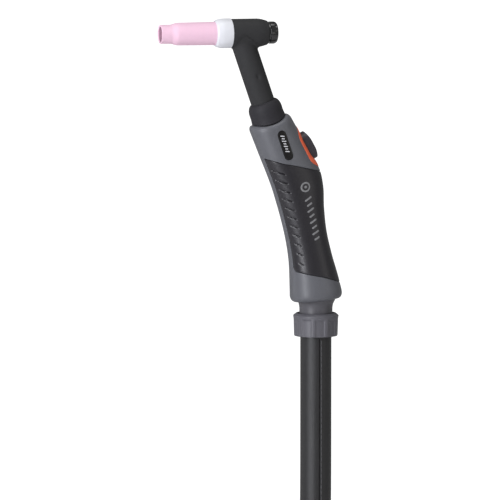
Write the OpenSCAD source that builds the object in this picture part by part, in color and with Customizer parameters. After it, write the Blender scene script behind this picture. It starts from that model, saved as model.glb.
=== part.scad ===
// TIG welding torch, hand held, with an angled head, a swivelling cable knuckle and a covered lead.
// Millimetres. +Z is up, the nozzle points along -X, and Y = 0 is the plane of symmetry.
// The origin is the middle of the hand grip.

/* [Head] */
// Angle that the neck leans back from the vertical
neck_tilt = 19; // [10:1:30]
// Distance along the neck from the handle's rim up to the head's axis
neck_length = 69; // [60:1:90]
// Radius of the rubber neck
neck_r = 9; // [8:0.5:10]
// Radius of the head barrel
barrel_r = 10.7; // [10:0.1:12]
// Length of the barrel in front of the neck axis
barrel_front = 7.2; // [7:0.2:9]
// Length of the barrel behind the neck axis
barrel_back = 21.2; // [20:0.2:24]

/* [Consumables] */
// Radius of the white cup gasket
gasket_r = 11.1; // [10.5:0.1:12]
// Length of the cup gasket
gasket_l = 12.4; // [11:0.2:14]
// Outer length of the gas cup
cup_l = 47; // [40:1:60]
// Radius of the cup at its mouth
cup_mouth_r = 7.1; // [6.6:0.1:8]
// Radius of the cup's larger part
cup_body_r = 8.7; // [8.2:0.1:9.2]
// Diameter of the electrode
electrode_d = 2.4; // [1.6:0.8:3.2]
// Radius of the back cap
cap_r = 8.4; // [8:0.1:9]
// Length of the back cap that stands out of the barrel
cap_l = 7.2; // [7:0.1:9]

/* [Handle] */
// Length of the handle along its curved centre line
handle_l = 141.6; // [141.6:0.1:142]
// Angle that the handle's lower end leans back from the vertical
butt_tilt = 5.2; // [4:0.1:6]
// Wall thickness of the handle halves
wall = 4; // [3.8:0.1:4.2]
// Thickness of the soft grip inserts
grip_t = 1.5; // [1.2:0.1:2]
// Length of the switch bezel
bezel_l = 36; // [34:0.5:36.5]
// Width of the switch bezel
bezel_w = 21; // [19.5:0.5:21]
// Length of the switch button
button_l = 22.6; // [21:0.2:23.4]
// Width of the switch button
button_w = 14; // [12:0.5:15]

/* [Knuckle and nut] */
// Radius of the knuckle's ball
ball_r = 15.5; // [15.3:0.1:15.7]
// Radius of the knuckle's neck
sleeve_r = 12.5; // [12:0.1:12.6]
// Radius of the knuckle's thread
thread_r = 14.3; // [14:0.1:14.4]
// Radius of the gland nut at its upper rim
nut_r = 17.2; // [16.8:0.1:18]
// Length of the gland nut
nut_l = 17.4; // [17:0.1:18]

/* [Lead] */
// Outer radius of the covered lead
lead_r = 11.85; // [11:0.05:12]
// Radius of the coil's inner turns, at the lead's centre line
turn_in = 122; // [120:1:124]
// Distance between neighbouring turns
turn_gap = 24; // [24:0.1:25]
// Radius of the power and gas tail
tail_r = 6; // [5:0.5:7]
// Radius of the control lead
control_r = 2.75; // [2:0.25:3]

/* [Hidden] */
$fn = 72;

// ---- places that the other dimensions follow from ----
rim = [-23.8, 0, 67.2];
ball = [13.2, 0, -63.7];
ball_above_butt = 5.5;
butt = [ball.x + ball_above_butt * sin(butt_tilt), 0, ball.z - ball_above_butt * cos(butt_tilt)];
head_x = rim.x - neck_length * sin(neck_tilt);
head_z = rim.z + neck_length * cos(neck_tilt);
barrel_x0 = head_x - barrel_front;
barrel_x1 = head_x + barrel_back;
gasket_x0 = barrel_x0 - gasket_l;
cup_in_gasket = 4.8;
cup_x1 = gasket_x0 + cup_in_gasket;
cup_x0 = cup_x1 - cup_l;
cap_x1 = barrel_x1 + cap_l;
electrode_r = electrode_d / 2;
fit = 0.05;
gap = 0.3;

// ---- the handle's centre line, a cubic curve from the rim to the butt ----
rim_dir = [sin(neck_tilt), 0, -cos(neck_tilt)];
butt_dir = [sin(butt_tilt), 0, -cos(butt_tilt)];
pull = 0.4 * norm(butt - rim);
spine = [rim, rim + pull * rim_dir, butt - pull * butt_dir, butt];

function bezier(p, t) =
    let (u = 1 - t)
    u * u * u * p[0] + 3 * u * u * t * p[1] + 3 * u * t * t * p[2] + t * t * t * p[3];
function bezier_slope(p, t) =
    let (u = 1 - t)
    3 * u * u * (p[1] - p[0]) + 6 * u * t * (p[2] - p[1]) + 3 * t * t * (p[3] - p[2]);
function unit(v) = v / norm(v);

// ---- the handle's section along that line: distance, front, rear and side half widths ----
sections = [
    [0, 16.3, 15.8, 15.8],
    [20, 15.4, 19.9, 15.4],
    [45, 14.6, 24.1, 15],
    [60, 15, 22.6, 15],
    [76, 15.5, 18.3, 14.8],
    [94, 16.1, 15.4, 14.9],
    [112, 17.1, 15.6, 16],
    [128, 18.8, 17.9, 17.6],
    [142, 20.2, 20.2, 18.8]
];
rim_round = [3.2, 2.6];
butt_round = [4.6, 3.6];
squareness = 2.2;

// Slope of a section value at row i, from its neighbours
function row_slope(i, k) =
    let (a = max(i - 1, 0), b = min(i + 1, len(sections) - 1))
    (sections[b][k] - sections[a][k]) / (sections[b][0] - sections[a][0]);
// A section value at distance s, on a smooth curve through the rows
function section_value(s, k) =
    let (
        i = max([for (j = [0 : len(sections) - 2]) if (j == 0 || s >= sections[j][0]) j]),
        h = sections[i + 1][0] - sections[i][0],
        u = (s - sections[i][0]) / h,
        u2 = u * u,
        u3 = u2 * u
    )
    (2 * u3 - 3 * u2 + 1) * sections[i][k] + (u3 - 2 * u2 + u) * h * row_slope(i, k)
    + (3 * u2 - 2 * u3) * sections[i + 1][k] + (u3 - u2) * h * row_slope(i + 1, k);
// How much an end's rounding takes off at distance d from that end
function round_off(d, r) = d >= r[0] ? 0 : r[1] * (1 - sqrt(1 - pow((r[0] - max(d, 0)) / r[0], 2)));
function half_width(s, k, inset) =
    section_value(s, k) - inset - round_off(s, rim_round) - round_off(handle_l - s, butt_round);
function bent(c, e) = sign(c) * pow(abs(c), 2 / e);
// A point of the handle's surface: s along it, a round it from the rear, inset below the surface
function skin_point(s, a, inset = 0) =
    let (
        t = s / handle_l,
        d = unit(bezier_slope(spine, t)),
        across = [-d.z, 0, d.x],
        n = half_width(s, cos(a) < 0 ? 1 : 2, inset) * bent(cos(a), squareness),
        y = half_width(s, 3, inset) * bent(sin(a), squareness)
    )
    bezier(spine, t) + n * across + [0, y, 0];

// ---- closed meshes from rows of points ----
function strip(a, b, n, closed) = [
    for (j = [0 : n - (closed ? 1 : 2)])
        let (k = (j + 1) % n)
        each [[a + j, b + j, b + k], [a + j, b + k, a + k]]
];
// Rows of points, each row a closed loop, with flat ends
module loft(rows) {
    n = len(rows[0]);
    m = len(rows);
    points = [for (r = rows) each r];
    sides = [for (i = [0 : m - 2]) each strip(i * n, (i + 1) * n, n, true)];
    start = [for (j = [1 : n - 2]) [0, j, j + 1]];
    end = [for (j = [1 : n - 2]) [(m - 1) * n, (m - 1) * n + j + 1, (m - 1) * n + j]];
    polyhedron(points, concat(sides, start, end), convexity = 6);
}
// A plate between two grids of points of the same size
module plate(outer, inner) {
    n = len(outer[0]);
    m = len(outer);
    loop = concat(
        [for (j = [0 : n - 1]) j],
        [for (i = [1 : m - 1]) i * n + n - 1],
        [for (j = [n - 2 : -1 : 0]) (m - 1) * n + j],
        [for (i = [m - 2 : -1 : 1]) i * n]
    );
    count = m * n;
    points = concat([for (r = outer) each r], [for (r = inner) each r]);
    top = [for (i = [0 : m - 2]) each strip(i * n, (i + 1) * n, n, false)];
    bottom = [for (f = top) [f[0] + count, f[2] + count, f[1] + count]];
    edge = [
        for (i = [0 : len(loop) - 1])
            let (a = loop[i], b = loop[(i + 1) % len(loop)])
            each [[a, b, b + count], [a, b + count, a + count]]
    ];
    polyhedron(points, concat(top, bottom, edge), convexity = 6);
}
// A round tube of radius r swept along points, with n sides
module sweep(path, r, n) {
    last = len(path) - 1;
    rows = [
        for (i = [0 : last])
            let (
                d = unit(path[min(i + 1, last)] - path[max(i - 1, 0)]),
                side = unit(cross(abs(d.z) > 0.9 ? [0, 1, 0] : [0, 0, 1], d)),
                up = cross(d, side)
            )
            [for (j = [0 : n - 1]) path[i] + r * (cos(360 * j / n) * side + sin(360 * j / n) * up)]
    ];
    loft(rows);
}

// ---- frames ----
// Turned about the head's axis: the profile's second value is the place along X
module on_head() {
    translate([0, 0, head_z]) rotate([0, 90, 0]) children();
}
module head_turned(profile) {
    on_head() rotate_extrude() polygon(profile);
}
// Local Z runs down the neck, from the head's axis
module on_neck() {
    translate([head_x, 0, head_z]) rotate([0, 180 - neck_tilt, 0]) children();
}
// Local Z runs up from the ball's centre
module on_ball() {
    translate(ball) children();
}
// Local Z runs out of the switch, local X runs down along its face
bezel_at = [5.7, 0, 46.7];
bezel_tilt = 29;
module on_bezel() {
    translate(bezel_at) rotate([0, 90 - bezel_tilt, 0]) children();
}
// A flat oval along X, made of straight sides
module cornered_oval(l, w) {
    polygon(concat(
        [for (a = [-90 : 15 : 90]) [(l - w) / 2 + w / 2 * cos(a), w / 2 * sin(a)]],
        [for (a = [90 : 15 : 270]) [(w - l) / 2 + w / 2 * cos(a), w / 2 * sin(a)]]
    ));
}
// A flat oval along X
module oval(l, w) {
    square([l - w, w], center = true);
    translate([(l - w) / 2, 0]) circle(d = w);
    translate([-(l - w) / 2, 0]) circle(d = w);
}

// ---- handle ----
half_sides = 14;
rim_rows = [0, 0.3, 0.9, 1.9, 3.2];
butt_rows = [4.6, 2.6, 1.2, 0.4, 0];
step = 0.15;

// The grip insert's upper and lower edges, straight cuts across the handle
function grip_top(a) = 32.6 + 0.7 * (cos(a) < 0 ? 14.8 : 22.5) * cos(a);
function grip_bottom(a) = 125 + 0.4 * (cos(a) < 0 ? 16 : 18) * cos(a);
// The insert reaches round from the rear seam to this angle
grip_to = 160;
grip_seam = 0.6;
grip_along = 12;
grip_across = 11;

function rest_of(s0, s1, u) = s0 + (s1 - s0) * u;
// Angles of the outer points: fine on both sides of the insert's front edge
outer_angles = concat(
    [for (j = [0 : grip_across]) (grip_to + 0.5) * j / grip_across], [grip_to + 1.2, 166, 173, 180]
);
inner_angles = [for (j = [half_sides : -1 : 0]) 180 * j / half_sides];
// The hollow narrows round the neck and above the ball, then opens into the ball's socket
neck_room = 0.7;
passage_r = 9.4;
socket_r = ball_r + 0.45;
socket_top = -sqrt(socket_r * socket_r - passage_r * passage_r);
function hollow_point(s, a) =
    let (
        t = s / handle_l,
        d = unit(bezier_slope(spine, t)),
        narrow = s < 4 ? neck_r + neck_room : s > 112 ? passage_r : 0,
        n = narrow > 0 ? narrow * cos(a) : half_width(s, cos(a) < 0 ? 1 : 2, wall) * cos(a),
        y = narrow > 0 ? narrow * sin(a) : half_width(s, 3, wall) * sin(a)
    )
    bezier(spine, t) + n * [-d.z, 0, d.x] + [0, y, 0];
// A point of the socket, h below the ball's centre along the handle
function socket_point(h, a) =
    let (r = sqrt(socket_r * socket_r - h * h))
    ball + h * butt_dir + r * cos(a) * [-butt_dir.z, 0, butt_dir.x] + [0, r * sin(a), 0];
function hollow_row(s) = [for (a = inner_angles) hollow_point(s, -a)];
function socket_row(h) = [for (a = inner_angles) socket_point(h, -a)];

// Distance along the handle of an outer point: in the part above, on or below the insert
function above_grip(a, u) = rest_of(rim_rows[4], grip_top(a) - step, u);
function on_grip(a, u) = rest_of(grip_top(a), grip_bottom(a), u);
function below_grip(a, u) = rest_of(grip_bottom(a) + step, handle_l - butt_rows[0], u);
function sunk(a) = a < grip_to + 1 ? grip_t + 0.1 : 0;
hollow_top = 32;
hollow_bottom = handle_l - ball_above_butt + socket_top;
module half_shell() {
    rows = concat(
        [
            for (s = rim_rows)
                concat([for (a = outer_angles) skin_point(s, -a)], hollow_row(s))
        ],
        [
            for (i = [1 : 5])
                concat(
                    [for (a = outer_angles) skin_point(above_grip(a, i / 5), -a)],
                    hollow_row(rest_of(rim_rows[4], hollow_top, i / 5))
                )
        ],
        [
            for (i = [0 : grip_along])
                concat(
                    [for (a = outer_angles) skin_point(on_grip(a, i / grip_along), -a, sunk(a))],
                    hollow_row(rest_of(hollow_top + 0.5, hollow_bottom, i / grip_along))
                )
        ],
        [
            for (i = [0, 1])
                concat(
                    [for (a = outer_angles) skin_point(below_grip(a, i / 2), -a)],
                    socket_row(rest_of(socket_top, 0, [0.15, 0.36][i]))
                )
        ],
        [
            for (i = [0 : 4])
                concat(
                    [for (a = outer_angles) skin_point(handle_l - butt_rows[i], -a)],
                    socket_row(rest_of(rest_of(socket_top, 0, 0.57), ball_above_butt, i / 4))
                )
        ]
    );
    loft([for (i = [len(rows) - 1 : -1 : 0]) rows[i]]);
}

// Grid of points over the insert at one depth
function grip_grid(side, inset) = [
    for (i = [0 : grip_along])
        [
            for (j = [0 : grip_across])
                let (a = grip_seam + (grip_to - grip_seam) * j / grip_across)
                skin_point(
                    rest_of(grip_top(a) + step, grip_bottom(a) - step, i / grip_along), side * a, inset
                )
        ]
];
module grip_plate(side) {
    if (side < 0)
        plate(grip_grid(side, 0), grip_grid(side, grip_t));
    else
        plate(grip_grid(side, grip_t), grip_grid(side, 0));
}
// A patch of the rear surface under the switch, between two depths
module rear_patch(high, low) {
    grid = [
        for (i = [0 : 9])
            [for (j = [0 : 10]) skin_point(8 + 50 * i / 9, 12 * j - 60, high)]
    ];
    deep = [
        for (i = [0 : 9])
            [for (j = [0 : 10]) skin_point(8 + 50 * i / 9, 12 * j - 60, low)]
    ];
    plate(deep, grid);
}

badge_l = 23;
badge_w = 6.4;
badge_s = 18;
badge_n = 2;
// The badge's outline, pushed along Y from y0 to y1
module badge_block(side, grow, y0, y1) {
    t = badge_s / handle_l;
    d = unit(bezier_slope(spine, t));
    at = bezier(spine, t) + badge_n * [-d.z, 0, d.x];
    translate([at.x, side * (y0 + y1) / 2, at.z])
        rotate([90, 90 - neck_tilt, 0])
            linear_extrude(y1 - y0, center = true) oval(badge_l + 2 * grow, badge_w + 2 * grow);
}

// Screw places: distance along the handle, distance behind its centre line
screws = [[66, -8.6], [104, -8.4], [15, 9.4]];
screw_r = 1.5;
screw_head_r = 2.4;
screw_head_l = 1.6;
screw_sunk = 0.3;
screw_shank = 17.5;
// The head's seat, measured out along Y from the plane of symmetry
function screw_seat(w) =
    let (
        n = abs(w[1]) + screw_head_r,
        part = n / half_width(w[0], w[1] < 0 ? 1 : 2, 0)
    )
    half_width(w[0], 3, 0) * pow(1 - pow(part, squareness), 1 / squareness) - screw_head_l - screw_sunk;
function handle_place(s, n) =
    let (t = s / handle_l, d = unit(bezier_slope(spine, t)))
    bezier(spine, t) + n * [-d.z, 0, d.x];
// Runs its children at each screw's head, with local Z out of the handle
module at_screws() {
    for (w = screws)
        translate(handle_place(w[0], w[1]) + [0, screw_seat(w), 0]) rotate([-90, 0, 0]) children();
}
module screw_holes() {
    at_screws() cylinder(r = screw_head_r + 0.1, h = 12);
    at_screws() translate([0, 0, -screw_shank - 1]) cylinder(r = screw_r + fit, h = screw_shank + 2);
}

// The half on the -Y side, without its screw holes
module plain_half() {
    difference() {
        half_shell();
        on_bezel() translate([0, 0, -9]) linear_extrude(20) cornered_oval(bezel_l + 0.2, bezel_w + 0.2);
        badge_block(-1, 0.1, 14.4, 20);
    }
}
module handle_left() {
    color([0.38, 0.39, 0.4]) difference() {
        plain_half();
        screw_holes();
    }
}
module handle_right() {
    color([0.38, 0.39, 0.4]) difference() {
        mirror([0, 1, 0]) plain_half();
        screw_holes();
    }
}

module grip_left() {
    color([0.15, 0.15, 0.16]) grip_plate(-1);
}
module grip_right() {
    color([0.15, 0.15, 0.16]) difference() {
        grip_plate(1);
        screw_holes();
    }
}

module badges() {
    color([0.05, 0.05, 0.05]) for (side = [-1, 1]) badge_block(side, 0, 14.5, 15.7);
}

module handle_screws() {
    color([0.6, 0.6, 0.62]) difference() {
        union() {
            at_screws() translate([0, 0, -screw_shank]) cylinder(r = screw_r, h = screw_shank + 0.5);
            at_screws() cylinder(r = screw_head_r, h = screw_head_l);
        }
        at_screws() translate([0, 0, 0.6]) cylinder(r = 1.1, h = 3, $fn = 6);
    }
}

// ---- switch ----
module switch_bezel() {
    color([0.92, 0.42, 0.28]) difference() {
        intersection() {
            rear_patch(-0.2, 2.3);
            on_bezel() translate([0, 0, -9]) linear_extrude(20) cornered_oval(bezel_l, bezel_w);
        }
        on_bezel() translate([0, 0, -10]) linear_extrude(22) oval(button_l + 0.7, button_w + 0.7);
    }
}

button_face = 3.4;
button_dome = 1.7;
dome_r = 36;
module switch_button() {
    color([0.13, 0.12, 0.13]) on_bezel() {
        intersection() {
            translate([0, 0, -2.9]) linear_extrude(12) oval(button_l, button_w);
            translate([0, 0, button_face + button_dome - dome_r]) sphere(dome_r);
        }
        translate([0, 0, -6.4]) cylinder(r = 2, h = 4);
        translate([0, 0, -8.4]) cylinder(r = 1.1, h = 3);
    }
}

module microswitch() {
    color([0.2, 0.2, 0.24]) on_bezel() difference() {
        translate([-8, -3, -13.2]) cube([16, 6, 5]);
        translate([0, 0, -11]) cylinder(r = 1.3, h = 4);
        for (x = [-4.8, 4.8])
            translate([x, 0, -10.5]) rotate([90, 0, 0]) cylinder(r = 1, h = 8, center = true);
    }
}

// ---- head ----
core_r = 8.2;
core_x0 = barrel_x0 + 1.2;
core_x1 = barrel_x1 - 4;
tube_r = 4.75;
module head_shell() {
    color([0.2, 0.2, 0.21]) difference() {
        union() {
            head_turned([
                [0, barrel_x0], [barrel_r - 0.4, barrel_x0], [barrel_r, barrel_x0 + 0.6],
                [barrel_r, barrel_x1 - 5.5], [barrel_r - 0.5, barrel_x1 - 3.4],
                [barrel_r - 1.6, barrel_x1 - 0.4], [barrel_r - 2.1, barrel_x1], [0, barrel_x1]
            ]);
            on_neck() translate([0, 0, 7]) cylinder(r = neck_r, h = neck_length + 5);
        }
        on_head() translate([0, 0, core_x0]) cylinder(r = core_r, h = core_x1 - core_x0);
        on_head() translate([0, 0, barrel_x0 - 1]) cylinder(r = 6.3, h = 6);
        on_head() translate([0, 0, barrel_x1 - 5]) cylinder(r = 6.3, h = 6);
        on_neck() cylinder(r = tube_r, h = neck_length + 13);
    }
}

collet_body_x1 = barrel_x0 + 12.6;
collet_x1 = barrel_x0 + 19.6;
module head_core() {
    color([0.72, 0.53, 0.3]) difference() {
        on_head() translate([0, 0, core_x0]) cylinder(r = core_r, h = core_x1 - core_x0);
        on_head() translate([0, 0, core_x0 - 1]) cylinder(r = 5.6, h = 14.2);
        on_head() translate([0, 0, core_x0]) cylinder(r = 2.3, h = 40);
        on_head() translate([0, 0, core_x1 - 8]) cylinder(r = 5.6, h = 9);
        on_neck() cylinder(r = 3.4, h = 20);
    }
}

module neck_tube() {
    color([0.72, 0.45, 0.3]) difference() {
        on_neck() cylinder(r = tube_r - fit, h = neck_length + 50);
        on_neck() translate([0, 0, -1]) cylinder(r = 3.4, h = neck_length + 60);
        on_head() translate([0, 0, core_x0 - 5]) cylinder(r = core_r + fit, h = 40);
    }
}

boot_top = neck_length - 14;
module neck_boot() {
    bore = neck_r + fit;
    color([0.17, 0.17, 0.18]) on_neck() rotate_extrude() polygon([
        [bore, boot_top], [bore + 0.8, boot_top + 0.2], [bore + 2.3, boot_top + 1.6],
        [bore + 3.3, boot_top + 3.8], [bore + 3.6, boot_top + 6], [bore + 3.6, boot_top + 8.5],
        [13.1, neck_length - 2.4], [13.1, neck_length - 0.05], [bore, neck_length - 0.05]
    ]);
}

module collet_body() {
    x = gasket_x0;
    color([0.75, 0.5, 0.3]) difference() {
        head_turned([
            [1.75, collet_body_x1], [5.5, collet_body_x1], [5.5, core_x0 - fit],
            [6.1, core_x0 - fit], [6.1, barrel_x0 - 0.2], [5.9, barrel_x0 - 0.6],
            [5.9, x - 5.2], [4.6, x - 6.5], [4.6, x - 17.5], [3.6, x - 20.5], [1.75, x - 20.5]
        ]);
        for (s = [0.9 : 1.8 : 9.9])
            on_head() translate([0, 0, x - 5 + s]) difference() {
                cylinder(r = 7, h = 0.7);
                translate([0, 0, -1]) cylinder(r = 5.6, h = 3);
            }
        for (a = [0, 90])
            on_head() translate([0, 0, x - 10]) rotate([0, 0, a + 45]) rotate([90, 0, 0])
                cylinder(r = 0.9, h = 20, center = true);
    }
}

module collet() {
    color([0.8, 0.52, 0.33]) difference() {
        head_turned([
            [electrode_r + fit, gasket_x0 - 19.5], [1.7, gasket_x0 - 19.5],
            [1.7, collet_x1 - 3.4], [2.2, collet_x1 - 3.2],
            [2.2, collet_x1], [electrode_r + fit, collet_x1]
        ]);
        on_head() translate([0, 0, gasket_x0 - 20]) for (a = [0, 90])
            rotate([0, 0, a]) translate([-0.15, -4, 0]) cube([0.3, 8, 14]);
    }
}

module electrode() {
    color([0.7, 0.72, 0.75]) head_turned([
        [0, cup_x0 + 4], [0.3, cup_x0 + 4], [electrode_r, cup_x0 + 8.5],
        [electrode_r, cap_x1 - 3.4], [electrode_r - 0.2, cap_x1 - 3.2], [0, cap_x1 - 3.2]
    ]);
}

module cup_gasket() {
    color([0.92, 0.92, 0.94]) head_turned([
        [6.25, barrel_x0 - fit], [gasket_r - 0.3, barrel_x0 - fit], [gasket_r, barrel_x0 - 0.4],
        [gasket_r, gasket_x0 + 4.6], [gasket_r - 1.9, gasket_x0], [cup_body_r + 0.15, gasket_x0],
        [cup_body_r + 0.15, cup_x1 + 0.1], [6.25, cup_x1 + 0.1]
    ]);
}

module gas_cup() {
    step = cup_x0 + 8.4;
    color([0.95, 0.83, 0.89]) head_turned([
        [5.6, cup_x0 + 0.5], [6, cup_x0], [cup_mouth_r - 0.5, cup_x0], [cup_mouth_r, cup_x0 + 0.6],
        [cup_mouth_r + 0.1, step], [cup_body_r - 0.3, step + 2.8], [cup_body_r - 0.2, step + 4],
        [cup_body_r, cup_x1], [6.0, cup_x1], [6.0, gasket_x0 - 5.4], [6.9, gasket_x0 - 6.6],
        [6.9, step + 4], [5.6, step + 1]
    ]);
}

module cap_oring() {
    color([0.1, 0.1, 0.1]) on_head() translate([0, 0, barrel_x1 - 3]) rotate_extrude()
        translate([5.7, 0]) circle(r = 0.55);
}

cap_slots = 10;
module back_cap() {
    color([0.1, 0.1, 0.1]) difference() {
        head_turned([
            [electrode_r + 0.2, collet_x1 + gap], [5.5, collet_x1 + gap], [5.5, barrel_x1 - 3.9],
            [5.1, barrel_x1 - 3.7], [5.1, barrel_x1 - 2.3], [5.5, barrel_x1 - 2.1],
            [5.5, barrel_x1 + 0.2], [cap_r - 0.2, barrel_x1 + 0.2], [cap_r, barrel_x1 + 0.5],
            [cap_r - 0.1, cap_x1 - 2.2], [cap_r - 0.8, cap_x1 - 0.6], [cap_r - 2.2, cap_x1],
            [0, cap_x1], [0, cap_x1 - 2.6], [electrode_r + 0.2, cap_x1 - 2.6]
        ]);
        for (i = [0 : cap_slots - 1])
            on_head() rotate([0, 0, 360 * (i + 0.5) / cap_slots])
                translate([cap_r - 0.7, -0.9, barrel_x1 + 1.6]) cube([2, 1.8, 4.2]);
    }
}

// ---- inside the handle ----
ferrule_s = [44, 62];
module crimp_ferrule() {
    color([0.75, 0.58, 0.3]) difference() {
        on_neck() translate([0, 0, neck_length + ferrule_s[0]]) cylinder(r = 7.4, h = 18);
        on_neck() cylinder(r = tube_r, h = neck_length + 60);
        on_neck() translate([0, 0, neck_length + 51]) cylinder(r = 6.1, h = 12);
    }
}

// The cable follows the neck's line at first, then bends down to the ball's centre
cable_path = [
    [-6.9, 0, 18.1], [-3.6, 0, 8.5], [-0.2, 0, -2], [3.5, 0, -14], [7, 0, -27],
    [10, 0, -39], [12, 0, -50], [12.9, 0, -58], [13.2, 0, -63]
];
module inner_cable() {
    color([0.1, 0.1, 0.1]) sweep(cable_path, 5.4, 12);
}

// ---- knuckle and nut, heights from the ball's centre ----
nut_top = -15.4;
nut_bottom = nut_top - nut_l;
thread_top = nut_top - 1.7;
thread_bottom = thread_top - 7.4;
spigot_r = 10.2;
spigot_end = nut_bottom - 0.4;
module knuckle_ball() {
    crown = 9;
    neck_start = -sqrt(ball_r * ball_r - sleeve_r * sleeve_r);
    color([0.36, 0.36, 0.38]) on_ball() difference() {
        union() {
            intersection() {
                sphere(ball_r);
                translate([0, 0, neck_start - 1]) cylinder(r = 20, h = crown - neck_start + 1);
            }
            translate([0, 0, thread_top]) cylinder(r = sleeve_r, h = -thread_top);
            translate([0, 0, thread_bottom]) cylinder(r = thread_r, h = thread_top - thread_bottom);
            translate([0, 0, spigot_end]) cylinder(r = spigot_r, h = thread_bottom - spigot_end);
        }
        translate([0, 0, spigot_end - 1]) cylinder(r = 8.6, h = 60);
        translate([0, 0, -4]) cylinder(r1 = 8.6, r2 = 11, h = crown + 4.1);
        for (i = [0 : 2])
            translate([0, 0, thread_bottom + 1.2 + 2 * i]) difference() {
                cylinder(r = thread_r + 1, h = 0.8);
                translate([0, 0, -1]) cylinder(r = thread_r - 0.6, h = 3);
            }
    }
}

cover_top = thread_bottom - 0.3;
cover_stop = nut_bottom - 1.5;
module cover_end() {
    color([0.13, 0.13, 0.14]) on_ball() difference() {
        translate([0, 0, cover_stop]) cylinder(r = lead_r, h = cover_top - cover_stop);
        translate([0, 0, cover_stop - 1]) cylinder(r = spigot_r + fit, h = 20);
    }
}

ring_top = thread_bottom - 0.3;
module clamp_ring() {
    bore = lead_r + fit;
    color([0.75, 0.75, 0.72]) on_ball() difference() {
        rotate_extrude() polygon([
            [bore, ring_top], [thread_r - 0.2, ring_top], [thread_r - 0.2, ring_top - 2.6],
            [bore + 0.6, ring_top - 5], [bore, ring_top - 5]
        ]);
        translate([0, -0.6, ring_top - 6]) cube([20, 1.2, 7]);
    }
}

scallops = 10;
module gland_nut() {
    bore = thread_r + 0.1;
    seat = ring_top - 2.7;
    hole = lead_r + 0.45;
    color([0.39, 0.39, 0.41]) on_ball() difference() {
        rotate_extrude() polygon([
            [bore, nut_top], [nut_r - 0.5, nut_top], [nut_r, nut_top - 0.5],
            [nut_r - 0.05, nut_top - 1.8], [nut_r - 0.95, nut_bottom + 0.9],
            [nut_r - 1.8, nut_bottom], [hole, nut_bottom], [hole, seat - 2.7], [bore, seat]
        ]);
        for (i = [0 : scallops - 1])
            rotate([0, 0, 360 * (i + 0.5) / scallops])
                translate([nut_r + 3.6, 0, nut_bottom - 1]) cylinder(r = 4.6, h = nut_l - 2.8);
    }
}

// ---- lead ----
coil_centre = [ball.x - turn_in, 0];
drop_path = [
    [13.2, 0, -98], [13.2, 0, -130], [13.2, 0, -162], [13.2, 0, -194], [13, 0, -228],
    [13, 3.5, -263], [12.5, 13.5, -297], [9.5, 30, -328], [2, 51, -355.5], [-12, 74.5, -377.5],
    [-34, 96.5, -394.5], [-63, 113, -404.5], [-97, 121.5, -408]
];
module lead_drop() {
    color([0.16, 0.16, 0.17]) sweep(drop_path, lead_r, 12);
}

upper_z = drop_path[12].z;
lower_z = upper_z - turn_gap;
coil_in = turn_in - lead_r - 0.2;
coil_out = turn_in + turn_gap + lead_r + 0.2;
coil_top = upper_z + lead_r + 0.1;
coil_bottom = lower_z - lead_r - 0.1;
module ring_section(grow) {
    soft = 6;
    x0 = coil_in - grow;
    x1 = coil_out + grow;
    z0 = coil_bottom - grow;
    z1 = coil_top + grow;
    polygon([
        [x0 + soft, z0], [x1 - soft, z0], [x1, z0 + soft], [x1, z1 - soft],
        [x1 - soft, z1], [x0 + soft, z1], [x0, z1 - soft], [x0, z0 + soft]
    ]);
}
module lead_coil() {
    color([0.16, 0.16, 0.17]) translate([coil_centre.x, coil_centre.y, 0])
        rotate_extrude($fn = 96) ring_section(0);
}

tie_width = 20;
tie_t = 1.2;
tie_angles = [20, 140, 260];
module coil_ties() {
    spread = tie_width / (turn_in + turn_gap / 2) * 180 / PI;
    color([0.07, 0.07, 0.07]) translate([coil_centre.x, coil_centre.y, 0])
        for (a = tie_angles)
            rotate([0, 0, a - spread / 2]) rotate_extrude(angle = spread) difference() {
                ring_section(tie_t);
                ring_section(0.05);
            }
}

// The last of the lead leaves the coil's lower layer and ends in the coil's open middle
tail_path = [
    [-99, -121.5, -432], [-66.5, -113, -432], [-39, -94, -432], [-19, -66.5, -432],
    [-10, -34, -432], [-10.5, -12, -432], [-15.5, 8.5, -432]
];
module lead_tail() {
    color([0.16, 0.16, 0.17]) sweep(tail_path, lead_r, 12);
}

// Local Z runs on from the end of the lead, at boot_turn round the vertical
boot_at = tail_path[6];
boot_turn = 110;
boot_l = 36;
boot_r = 13;
module lead_boot() {
    color([0.1, 0.1, 0.1]) translate(boot_at) rotate([0, 90, boot_turn]) rotate_extrude() polygon([
        [0, 0], [boot_r - 0.6, 0], [boot_r, 0.8], [boot_r, 8], [boot_r - 1, 9.5],
        [boot_r - 1.4, boot_l - 1.5], [boot_r - 2.6, boot_l], [0, boot_l]
    ]);
}

// The power lead rises out of the coil's middle, and its plug lies across the top of the coil
power_path = [
    [-31.8, 40.9, -432], [-38.6, 57, -431], [-50, 70, -427], [-67, 78, -419.5], [-88, 78.5, -409.5],
    [-109.5, 72, -399], [-131.5, 61.5, -389.5], [-154.5, 54.2, -384], [-178, 52, -382.7]
];
module power_tail() {
    color([0.08, 0.08, 0.08]) sweep(power_path, tail_r, 12);
}

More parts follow.
